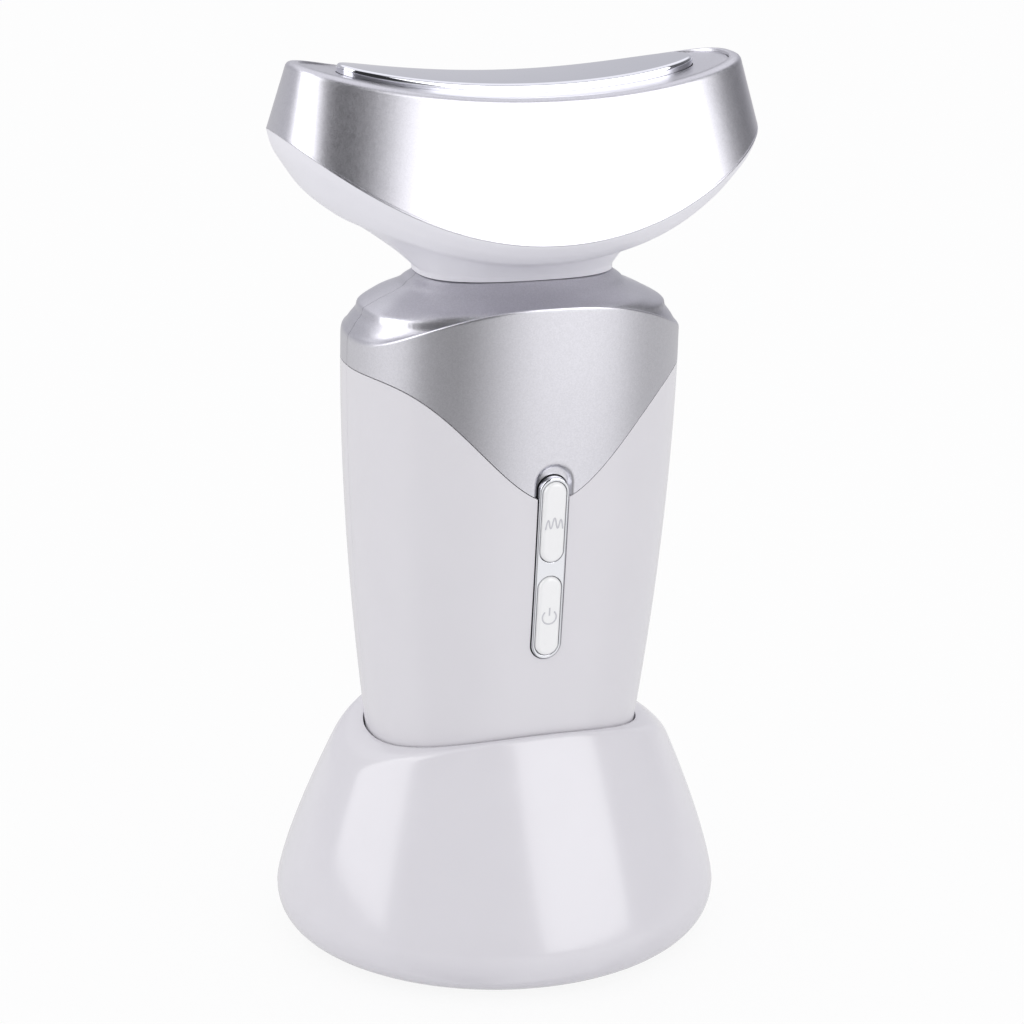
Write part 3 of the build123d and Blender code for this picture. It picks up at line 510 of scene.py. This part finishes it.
# ---------------------------------------------------------------- grip
GRIP_SKIN_LOW = 18.0
EDGE_SIDE, EDGE_CURVE = 103.6, 0.9
POINT_FRONT, POINT_BACK = 84.0, 92.0
LIP_IN, LIP_LONG, LIP_HIGH = 1.45, 3.5, 105.6


def silver_edge(x, point):
    """Height of the collar's lower edge, which comes down to a point in the middle."""
    across = min(abs(x) / GRIP_TOP_HALF[0], 1.0)
    return point + (EDGE_SIDE - point) * sin(pi / 2 * across ** EDGE_CURVE) ** 2


def grip_shell(side, point, name, node):
    """One half of the grip, from the foot cap to the silver edge, with a lip behind the collar."""
    steps, seam = 60, 0.15

    def column(turn):
        draw = parting(turn, 0.12)
        top = silver_edge(oval(turn, inset(GRIP_TOP_HALF, seam), GRIP_POWER)[0], point) - seam
        points = []
        for step in range(steps + 1):
            z = GRIP_SKIN_LOW + (top - GRIP_SKIN_LOW) * step / steps
            points.append(on_oval(turn, inset(grip_half(z), draw), GRIP_POWER, z))
        high = min(top + LIP_LONG, LIP_HIGH)
        return [*points,
                on_oval(turn, inset(grip_half(top), LIP_IN), GRIP_POWER, top + 0.01),
                on_oval(turn, inset(grip_half(high), LIP_IN), GRIP_POWER, high)]

    bm = face_out(grow(half_turn(side, 120), column, closed=False))
    piece = finish_piece(bm, name, GRIP_WHITE, "handset", "grip_white", node)
    thicken(piece, 0.45)
    return piece


# ---------------------------------------------------------------- collar
NECK_POWER = 2.6
NECK_HALF, NECK_Z = (17.0, 10.35), 118.4
SEAT_HALF, SEAT_Z = (15.5, 8.9), 116.4
RIDGE_SIDE = 107.9
RIDGE_FRONT, RIDGE_BACK = (116.9, 2.4), (112.0, 1.6)
RIDGE_ROUND, RIDGE_FALL, RIDGE_BEND = 0.55, 0.35, 0.02
VALLEY_FILLET = 1.6
SHOULDER_POWER = 2.5
# The shoulder's level ovals, from the neck down: height, half width, half depth.
SHOULDER = (
    (118.4, 17.0, 10.35), (117.8, 17.6, 10.95), (117.2, 18.5, 11.7), (116.4, 19.3, 12.8),
    (115.6, 20.7, 14.2), (114.8, 22.6, 15.7), (114.0, 24.2, 16.4), (113.0, 26.0, 16.5),
    (112.0, 26.3, 16.7), (110.5, 27.4, 17.7), (109.0, 28.3, 19.3), (106.5, 30.2, 22.9),
)
SHOULDER_Z, SHOULDER_X, SHOULDER_Y = (
    [(at, level[part]) for at, level in enumerate(SHOULDER)] for part in range(3))
SCOOP_MIDDLE, SCOOP_RADIUS, SCOOP_RAMP, SCOOP_DEPTH = 87.2, 3.4, 0.75, 0.85


def ridge_height(side, x):
    """Height of the collar's ridge, which is lower at the back than in front."""
    crest, sweep = RIDGE_FRONT if side < 0 else RIDGE_BACK
    return crest - (crest - RIDGE_SIDE) * min(abs(x) / GRIP_TOP_HALF[0], 1.0) ** sweep


def shoulder_height(x, y):
    """Height of the shoulder above a plan point, found between its level ovals."""
    low, high = 0.0, len(SHOULDER) - 1.0
    for _ in range(18):
        middle = (low + high) / 2
        wide, deep = eased(SHOULDER_X, middle), eased(SHOULDER_Y, middle)
        if (abs(x) / wide) ** SHOULDER_POWER + (abs(y) / deep) ** SHOULDER_POWER > 1.0:
            low = middle
        else:
            high = middle
    return eased(SHOULDER_Z, (low + high) / 2)


def blended(a, b, reach):
    """The higher of two heights, with a fillet where they cross."""
    near = max(reach - abs(a - b), 0.0) / reach
    return max(a, b) + near * near * reach / 4


def scoop(x, z):
    """Depth of the finger scoop that the collar's point has over the buttons' frame."""
    edge = hypot(x, max(z - SCOOP_MIDDLE, 0.0)) - SCOOP_RADIUS
    share = min(max(-edge / SCOOP_RAMP, 0.0), 1.0)
    return SCOOP_DEPTH * share * share * (3 - 2 * share)


def collar(side, point, name, node):
    """One half of the collar: pointed wall, ridge, valley, shoulder and the neck's seat."""
    in_front = side < 0
    count, wall_steps = (240, 84) if in_front else (140, 44)
    bend_steps, top_steps = 6, 78

    def wall(turn, draw, edge, high):
        points = []
        for step in range(wall_steps + 1):
            z = edge + (high - edge) * step / wall_steps
            x, y = oval(turn, inset(grip_half(z), draw), GRIP_POWER)
            if in_front:
                y += scoop(x, z)
            points.append(Vector((x, y, z)))
        return points

    def column(turn):
        draw = parting(turn, 0.3)
        if in_front:
            # The columns crowd together in the middle, where the scoop is.
            turn = -pi / 2 + (turn + pi / 2) * (1 - 0.25 * cos(turn + pi / 2) ** 6)
        x_top = oval(turn, GRIP_TOP_HALF, GRIP_POWER)[0]
        crest = ridge_height(side, x_top)
        outline = on_oval(turn, inset(GRIP_TOP_HALF, draw), GRIP_POWER, crest)
        neck = on_oval(turn, inset(NECK_HALF, draw), NECK_POWER, NECK_Z)

        def on_top(share):
            """A point of the valley and the shoulder, on the way in from the ridge."""
            spot = outline.lerp(neck, share)
            inward = (spot.xy - outline.xy).length
            ridge = crest - RIDGE_FALL * inward - RIDGE_BEND * inward * inward
            height = blended(shoulder_height(spot.x, spot.y), ridge, VALLEY_FILLET)
            return Vector((spot.x, spot.y, height - draw))

        first = RIDGE_ROUND / (neck.xy - outline.xy).length
        low = on_oval(turn, inset(GRIP_TOP_HALF, draw), GRIP_POWER, crest - RIDGE_ROUND)
        corner = Vector((outline.x, outline.y, on_top(0.0).z))
        shares = [first + (1 - first) * (step / top_steps) ** 1.15
                  for step in range(1, top_steps + 1)]
        return [
            *wall(turn, draw, silver_edge(x_top, point), crest - RIDGE_ROUND),
            *rounding(low, corner, on_top(first), bend_steps),
            *(on_top(min(share, 1.0)) for share in shares),
            on_oval(turn, SEAT_HALF, NECK_POWER, NECK_Z),
            on_oval(turn, SEAT_HALF, NECK_POWER, SEAT_Z),
        ]

    bm = face_out(grow(half_turn(side, count), column, closed=False))
    piece = finish_piece(bm, name, SILVER, "handset", "silver_paint", node, sharp=50.0)
    thicken(piece, 0.8)
    return piece


# ---------------------------------------------------------------- head
HEAD_POWER = 2.6
# How far the flare has risen, at shares of its way out, at the head's tips and elsewhere.
FLARE_TIP = ((0, 0), (0.06, 0.055), (0.12, 0.11), (0.25, 0.21), (0.42, 0.33), (0.6, 0.43),
             (0.78, 0.585), (0.9, 0.755), (0.97, 0.88), (1, 1))
FLARE_FRONT = ((0, 0), (0.06, 0.16), (0.12, 0.25), (0.25, 0.32), (0.42, 0.38), (0.6, 0.47),
               (0.78, 0.66), (0.9, 0.83), (0.97, 0.94), (1, 1))
FLARE_LOW, FLARE_OUT = 119.4, (24.55, 10.55)
# The neck's first rows, as insets and heights, with a small round over the seat.
NECK_START = ((1.5, 118.49), (0.18, 118.49), (0.05, 118.53), (0.0, 118.7), (0.0, FLARE_LOW))
HEAD_HALF = (41.55, 20.9)
BAND_LOW, BAND_RISE = 126.5, 16.3
RIM_HALF = (38.7, 14.0)
RIM_LOW, RIM_RISE = 149.0, 4.65
# How far in the edges of the underside and the band reach where the two meet.
INNER_EDGE = 1.6
# How closely the flare's own course at the tips keeps to the tips.
TIP_FOCUS = 8
# The face frame's edges: how far inside the rim, and how far outside the plate.
UNDER_RIM, PLATE_GAP = 1.95, 0.15
PLATE_HALF = (30.7, 7.75)
PLATE_PROUD, PLATE_CROWN, PLATE_CURVE = 1.0, 0.55, 15.5
HEAD_COLUMNS = 224


def rim_height(x):
    """Height of the rim's arch, which is lowest in the middle."""
    return RIM_LOW + RIM_RISE * (x / RIM_HALF[0]) ** 2


def band_low(side):
    """Height of the band's lower edge, which climbs towards the tips."""
    return BAND_LOW + BAND_RISE * side * side


def head_round(turn):
    """Shares of the half width and the half depth, at an angle round the head."""
    return oval(turn, (1.0, 1.0), HEAD_POWER)


def head_lower():
    """The white underside: neck, flare, and the edge that meets the band."""
    steps = 60

    def column(turn):
        side, front = head_round(turn)
        top = band_low(side) - 0.02
        tip_share = side ** TIP_FOCUS
        points = [on_oval(turn, inset(NECK_HALF, inward), HEAD_POWER, z)
                  for inward, z in NECK_START]
        for step in range(1, steps + 1):
            share = (step / steps) ** 1.25
            rise = (eased(FLARE_TIP, share) * tip_share
                    + eased(FLARE_FRONT, share) * (1 - tip_share))
            wide, deep = (neck + out * share for neck, out in zip(NECK_HALF, FLARE_OUT))
            z = FLARE_LOW + (top - FLARE_LOW) * rise
            points.append(Vector((side * wide, front * deep, z)))
        wide, deep = inset(HEAD_HALF, INNER_EDGE)
        return [*points, Vector((side * wide, front * deep, top + 0.01))]

    bm = face_out(grow(full_turn(192), column))
    # The underside's white is painted lighter, to lift the shade under the head.
    piece = finish_piece(bm, "head_lower_skin", HEAD_WHITE_LIFTED_OUT_OF_SHADE, "handset", "head_white",
                         "head_lower_shell", sharp=45.0)
    thicken(piece, 0.6)


def head_band():
    """The tapered silver band, with a crisp lower edge and a rounded rim."""
    steps, bend = 28, 6
    low_round, rim_round = 0.1, 0.9
    # Insets from the rim and drops below it, where the band turns down inside.
    inner_edge = ((1.7, 0.0), (1.8, -0.1), (1.8, -1.6))

    def column(turn):
        side, front = head_round(turn)
        low, high = band_low(side), rim_height(side * RIM_HALF[0])

        def ring(half, inward, z):
            return Vector((side * (half[0] - inward), front * (half[1] - inward), z))

        bottom, top = ring(HEAD_HALF, 0.0, low), ring(RIM_HALF, 0.0, high)
        rise = (top - bottom).length
        up, high_side = bottom.lerp(top, low_round / rise), top.lerp(bottom, rim_round / rise)
        shares = [(1 - cos(pi * step / steps)) / 2 for step in range(1, steps + 1)]
        return [
            ring(HEAD_HALF, INNER_EDGE, low + 0.02),
            *rounding(ring(HEAD_HALF, low_round, low + 0.02), bottom, up, bend, 0),
            *(up.lerp(high_side, share) for share in shares),
            *rounding(high_side, top, ring(RIM_HALF, rim_round, high - 0.02), bend),
            *(ring(RIM_HALF, inward, high - 0.03 + drop) for inward, drop in inner_edge),
        ]

    bm = face_out(grow(full_turn(HEAD_COLUMNS), column))
    piece = finish_piece(bm, "head_band_skin", SILVER, "handset", "silver_paint", "head_band",
                         sharp=50.0)
    thicken(piece, 0.3)


def face_frame():
    """The silver surface between the band's rim and the electrode plate."""
    steps = 7

    def column(turn):
        side, front = head_round(turn)
        wide, deep = inset(RIM_HALF, UNDER_RIM)
        outer = Vector((side * wide, front * deep))
        wide, deep = inset(PLATE_HALF, -PLATE_GAP)
        inner = Vector((side * wide, front * deep))
        # Plan points, each with its drop below the arch of the rim.
        spots = [(outer, 1.6), (outer, 0.14), (outer * 0.997, 0.05),
                 *((outer.lerp(inner, step / steps), 0.05) for step in range(1, steps + 1)),
                 (inner, 0.06), (inner, 1.2)]
        return [Vector((*spot, rim_height(spot.x) - drop)) for spot, drop in spots]

    bm = face_out(grow(full_turn(HEAD_COLUMNS), column))
    piece = finish_piece(bm, "face_frame_skin", SILVER, "handset", "silver_paint", "face_frame",
                         sharp=50.0)
    thicken(piece, 0.5)


def plate_height(x, y):
    """Height of the electrode plate, which is crowned from front to back."""
    return rim_height(x) + PLATE_PROUD + PLATE_CROWN * (1 - (y / PLATE_CURVE) ** 2)


def electrode_plate():
    """The crowned plate: a rounded wall all round, and a smooth surface over the arch."""
    bend, steps = 7, 14
    edge_round = 0.9
    middle_share = 0.72

    def column(turn):
        side, front = head_round(turn)
        x, y = side * PLATE_HALF[0], front * PLATE_HALF[1]
        wide, deep = inset(PLATE_HALF, edge_round)
        in_x, in_y = side * wide, front * deep
        start = Vector((x, y, plate_height(x, y) - edge_round))
        corner = Vector((x, y, plate_height(x, y)))
        end = Vector((in_x, in_y, plate_height(in_x, in_y)))
        points = [Vector((x, y, rim_height(x) - 0.9)), *rounding(start, corner, end, bend, 0)]
        for step in range(1, steps + 1):
            share = step / steps
            ex = in_x + (in_x * middle_share - in_x) * share
            ey = in_y * (1 - share)
            points.append(Vector((ex, ey, plate_height(ex, ey))))
        return points

    bm = grow(full_turn(HEAD_COLUMNS), column)
    bmesh.ops.remove_doubles(bm, verts=bm.verts, dist=0.0005)
    finish_piece(face_out(bm), "electrode_plate_skin", CHROME, "handset", "chrome_plate",
                 "electrode_plate", sharp=50.0)


# ---------------------------------------------------------------- buttons
BEZEL_LOW, BEZEL_HIGH, BEZEL_WIDE = 56.1, 88.4, 5.2
BEZEL_LONG = BEZEL_HIGH - BEZEL_LOW
BEZEL_PROUD = 0.45
OPENING_LONG, OPENING_WIDE = BEZEL_LONG + 0.4, 5.6
BUTTON_LONG, BUTTON_WIDE, BUTTON_PROUD = 14.1, 4.1, 1.0
BUTTON_GAP = 0.2
MODE_AT, POWER_AT = 8.35, -8.35
# The buttons' own plane leans with the grip's front: x across, y up along it, z out of it.
FRONT_LOW, FRONT_HIGH = grip_half(BEZEL_LOW)[1], grip_half(BEZEL_HIGH)[1]
TILT = atan((FRONT_HIGH - FRONT_LOW) / BEZEL_LONG)
PLANE_MIDDLE = (0, -(FRONT_LOW + FRONT_HIGH) / 2, (BEZEL_LOW + BEZEL_HIGH) / 2)
BUTTON_PLANE = Matrix.Translation(PLANE_MIDDLE) @ Matrix((
    (1, 0, 0, 0), (0, -sin(TILT), -cos(TILT), 0), (0, cos(TILT), -sin(TILT), 0), (0, 0, 0, 1),
))
BEAD_RADIUS, BEAD_SQUASH = 0.13, 0.6
WAVE = ((-1.5, -1.0), (-1.15, 1.6), (-0.6, -1.7), (0.0, 1.8), (0.6, -1.7), (1.15, 1.6),
        (1.5, -1.0))
POWER_RADIUS = 1.25
POWER_STROKE = ((0, 0.3), (0, 1.7))


def lay_on_grip(bm):
    bmesh.ops.transform(bm, matrix=BUTTON_PLANE, verts=bm.verts)
    return bm


def bezel():
    """The chrome frame round both buttons."""
    ring = stadium(BEZEL_LONG, BEZEL_WIDE, -2.6, BEZEL_PROUD)
    round_top(ring, BEZEL_PROUD, 0.3, 4)
    piece = finish_piece(lay_on_grip(ring), "button_frame", BEZEL_CHROME, "handset",
                         "chrome_plate", "button_bezel")
    for along in (MODE_AT, POWER_AT):
        opening = stadium(BUTTON_LONG + BUTTON_GAP, BUTTON_WIDE + BUTTON_GAP, -4.0, 3.0, along)
        open_up(piece, lay_on_grip(opening))
    soften(piece, 0.08, 50.0)


def button(along, name, body, node):
    """One cap, with a full round over its edge."""
    cap = stadium(BUTTON_LONG, BUTTON_WIDE, -3.0, BUTTON_PROUD, along)
    round_top(cap, BUTTON_PROUD, 0.7, 7)
    finish_piece(lay_on_grip(cap), name, BUTTON_WHITE, body, "button_white", node)


def bead(name, body, along, points):
    """A round bead through points on a button's face, pressed a little flat."""
    curve = bpy.data.curves.new(name, "CURVE")
    curve.dimensions = "3D"
    curve.bevel_depth = BEAD_RADIUS
    curve.bevel_resolution = 2
    curve.use_fill_caps = True
    run = curve.splines.new("NURBS")
    run.points.add(len(points) - 1)
    for spot, (x, y) in zip(run.points, points):
        spot.co = (x, y + along, BUTTON_PROUD, 1.0)
    run.order_u = 3 if len(points) > 2 else 2
    run.use_endpoint_u = True
    drawn = bpy.data.objects.new(name, curve)
    scene.collection.objects.link(drawn)
    mesh = evaluated_mesh(drawn)
    bpy.data.objects.remove(drawn)
    bm = bmesh.new()
    bm.from_mesh(mesh)
    bmesh.ops.scale(bm, vec=(1, 1, BEAD_SQUASH), verts=bm.verts,
                    space=Matrix.Translation((0, 0, -BUTTON_PROUD)))
    # The bead's grey is painted shade of the raised mark.
    finish_piece(lay_on_grip(bm), name, RELIEF_SHADE_GREY, body, "button_white")


def button_marks():
    """A plain wave on the upper button; an open ring and a stroke on the lower one."""
    ring = [(POWER_RADIUS * sin(radians(a)), POWER_RADIUS * cos(radians(a)))
            for a in range(40, 321, 20)]
    bead("mode_mark", "mode_button", MODE_AT, WAVE)
    bead("power_mark_ring", "power_button", POWER_AT, ring)
    bead("power_mark_stroke", "power_button", POWER_AT, POWER_STROKE)


# ---------------------------------------------------------------- pieces in their places
cradle = cradle_shell()
open_up(cradle, inlet_opening())
front = grip_shell(-1, POINT_FRONT, "front_grip_skin", "front_shell")
grip_shell(1, POINT_BACK, "rear_grip_skin", "rear_shell")
front_collar = collar(-1, POINT_FRONT, "front_collar_skin", "front_collar")
collar(1, POINT_BACK, "rear_collar_skin", "rear_collar")
for holed in (front, front_collar):
    open_up(holed, lay_on_grip(stadium(OPENING_LONG, OPENING_WIDE, -3.5, 4.0)), 50.0)
head_lower()
head_band()
face_frame()
electrode_plate()
bezel()
button(MODE_AT, "mode_button_cap", "mode_button", "mode_button")
button(POWER_AT, "power_button_cap", "power_button", "power_button")
button_marks()

# The base, the foot cap, the inlet and all that is inside keep the solids' own meshes.
CAD_FINISHES = {
    "cradle_base_plate": BASE_GREY, "cradle_feet": RUBBER, "cradle_screws": STEEL,
    "dock_board": BOARD, "dock_board_screws": STEEL, "pin_block": BLACK_NYLON,
    "charge_pin_left": GOLD, "charge_pin_right": GOLD, "charging_inlet": INLET_STEEL,
    "foot_cap": GRIP_WHITE, "charge_contacts": GOLD, "shell_screws": STEEL,
    "main_board": BOARD, "board_screws": STEEL, "tact_switches": BLACK_NYLON,
    "battery_cell": CELL_WRAP, "battery_tray": BLACK_NYLON, "heater_film": FILM,
    "head_screws": STEEL, "motor_bracket": BLACK_NYLON, "vibration_motor": STEEL,
    "motor_shaft": STEEL, "eccentric_weight": TUNGSTEN,
}
for node_name, finish in CAD_FINISHES.items():
    for material_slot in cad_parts[node_name].material_slots:
        material_slot.material = finish


# ---------------------------------------------------------------- camera, studio, floor and lamps
CAMERA_AT = (-168.1, -439.05, 225.8)
CAMERA_HEADING, CAMERA_PITCH, CAMERA_ROLL = -21.09, 17.727, 1.62
FLOOR_RADIUS = 3000.0
WHITE = (1, 1, 1, 1)
# Levels round the horizon, as azimuth and level; the first stop is also where the ring closes.
WALLS = ((-180, 0.62), (-120, 0.55), (-64, 0.3), (-56, 0.04), (-4, 0.04), (7, 0.35), (50, 0.35),
         (60, 0.12), (100, 0.22), (128, 0.62))
WALL_TINT = (1.0, 1.0, 1.07)
TABLE = ((-180, 0.75), (-115, 1.0), (-75, 1.1), (-60, 0.5), (-25, 0.4), (-5, 0.9), (10, 1.3),
         (50, 1.2), (68, 0.7), (120, 0.8))
TABLE_TINT = (1.0, 1.0, 1.0)
CEILING = (1.15, 1.15, 1.2, 1.0)
FILL_LEVEL = 1.07
LAMP_ELEVATION, LAMP_DISTANCE = 27, 900
LAMP_WIDE, LAMP_HIGH = 745, 900
LAMP_TARGET = Vector((0, 0, 80))


def make_camera():
    data = bpy.data.cameras.new("Camera")
    data.lens = 101.1
    data.sensor_width = 36.0
    data.clip_start = 20 * MM
    camera = bpy.data.objects.new("Camera", data)
    scene.collection.objects.link(camera)
    heading = Matrix.Rotation(radians(CAMERA_HEADING), 4, "Z")
    pitch = Matrix.Rotation(radians(90 - CAMERA_PITCH), 4, "X")
    roll = Matrix.Rotation(radians(CAMERA_ROLL), 4, "Z")
    camera.matrix_world = Matrix.Translation(Vector(CAMERA_AT) * MM) @ heading @ pitch @ roll
    scene.camera = camera


def ring_of_tones(tree, source, tint, stops):
    """A tinted level round the horizon."""
    def shade(level):
        return (*[level * part for part in tint], 1.0)

    node = add_node(tree, "ShaderNodeValToRGB", {}, {0: source})
    ends = node.color_ramp.elements
    ends[0].color = ends[1].color = shade(stops[0][1])
    for azimuth, level in stops[1:]:
        ends.new((azimuth + 180) / 360).color = shade(level)
    return node.outputs["Color"]


def studio_tones(tree):
    """Walls that are dark in front on the left, dim on the right and pale behind, with a pale
    table under them and a white ceiling over them."""
    direction = add_node(tree, "ShaderNodeTexCoord")
    parts = add_node(tree, "ShaderNodeSeparateXYZ", {}, {0: direction.outputs["Generated"]})
    ahead = add_node(tree, "ShaderNodeMath", {"operation": "MULTIPLY", 1: -1.0},
                     {0: parts.outputs["Y"]})
    heading = add_node(tree, "ShaderNodeMath", {"operation": "ARCTAN2"},
                       {0: parts.outputs["X"], 1: ahead.outputs[0]})
    share = add_node(tree, "ShaderNodeMapRange", {"From Min": -pi, "From Max": pi},
                     {"Value": heading.outputs[0]})
    walls = ring_of_tones(tree, share.outputs["Result"], WALL_TINT, WALLS)
    table = ring_of_tones(tree, share.outputs["Result"], TABLE_TINT, TABLE)
    lean = add_node(tree, "ShaderNodeMath", {"operation": "MULTIPLY_ADD", 1: 0.4},
                    {0: parts.outputs["Y"], 2: parts.outputs["Z"]})
    rise = add_node(tree, "ShaderNodeMapRange", {"From Min": 0.72, "From Max": 0.85},
                    {"Value": lean.outputs[0]})
    sink = add_node(tree, "ShaderNodeMapRange", {"From Min": 0.05, "From Max": -0.1},
                    {"Value": parts.outputs["Z"]})
    lower = add_node(tree, "ShaderNodeMix", {"data_type": "RGBA"},
                     {0: sink.outputs["Result"], 6: walls, 7: table})
    studio = add_node(tree, "ShaderNodeMix", {"data_type": "RGBA", 7: CEILING},
                      {0: rise.outputs["Result"], 6: lower.outputs[2]})
    return studio.outputs[2]


def make_world():
    """Studio tones for gloss, an even fill for plain light, and white behind the object."""
    world = bpy.data.worlds.new("Studio")
    scene.world = world
    world.use_nodes = True
    tree = world.node_tree
    studio = tree.nodes["Background"]
    studio.inputs["Strength"].default_value = 1.0
    tree.links.new(studio_tones(tree), studio.inputs["Color"])
    fill = add_node(tree, "ShaderNodeBackground", {"Color": WHITE, "Strength": FILL_LEVEL})
    white = add_node(tree, "ShaderNodeBackground", {"Color": WHITE, "Strength": 1.0})
    rays = add_node(tree, "ShaderNodeLightPath")
    lit = add_node(tree, "ShaderNodeMixShader", {},
                   {0: rays.outputs["Is Diffuse Ray"], 1: studio.outputs[0], 2: fill.outputs[0]})
    mix = add_node(tree, "ShaderNodeMixShader", {},
                   {0: rays.outputs["Is Camera Ray"], 1: lit.outputs[0], 2: white.outputs[0]})
    tree.links.new(mix.outputs[0], tree.nodes["World Output"].inputs["Surface"])


def make_floor():
    """White paper, lifted to near white for the camera and for gloss, that keeps the shadow."""
    bm = bmesh.new()
    bmesh.ops.create_circle(bm, segments=96, radius=FLOOR_RADIUS, cap_ends=True)
    floor = as_object(bm, "Floor")
    material, tree, shader = start_material("Paper, white", "#e6e6e8", 0.9)
    rays = add_node(tree, "ShaderNodeLightPath")
    seen = add_node(tree, "ShaderNodeMath", {"operation": "MAXIMUM"},
                    {0: rays.outputs["Is Camera Ray"], 1: rays.outputs["Is Glossy Ray"]})
    share = add_node(tree, "ShaderNodeMath", {"operation": "MULTIPLY", 1: 0.9},
                     {0: seen.outputs[0]})
    glow = add_node(tree, "ShaderNodeEmission", {"Color": WHITE, "Strength": 1.0})
    mix = add_node(tree, "ShaderNodeMixShader", {},
                   {0: share.outputs[0], 1: shader.outputs[0], 2: glow.outputs[0]})
    tree.links.new(mix.outputs[0], tree.nodes["Material Output"].inputs["Surface"])
    floor.data.materials.append(material)
    floor.visible_glossy = False


def make_softbox(name, azimuth, radiance):
    """A soft rectangular lamp for gloss. Azimuth 0 stands in front, and 90 on the right."""
    data = bpy.data.lights.new(name, "AREA")
    data.shape = "RECTANGLE"
    data.size = LAMP_WIDE * MM
    data.size_y = LAMP_HIGH * MM
    data.energy = radiance * pi * LAMP_WIDE * LAMP_HIGH * MM * MM
    lamp = bpy.data.objects.new(name, data)
    lamp.visible_diffuse = False
    scene.collection.objects.link(lamp)
    az, el = radians(azimuth), radians(LAMP_ELEVATION)
    out = Vector((sin(az) * cos(el), -cos(az) * cos(el), sin(el)))
    place, target = (LAMP_TARGET + out * LAMP_DISTANCE) * MM, LAMP_TARGET * MM
    turn = (target - place).to_track_quat("-Z", "Y")
    lamp.matrix_world = Matrix.Translation(place) @ turn.to_matrix().to_4x4()


make_camera()
make_world()
make_floor()
make_softbox("Softbox right", 30, 2.85)
make_softbox("Softbox left", -89, 2.6)
scene.view_settings.view_transform = "Standard"

bpy.context.view_layer.update()
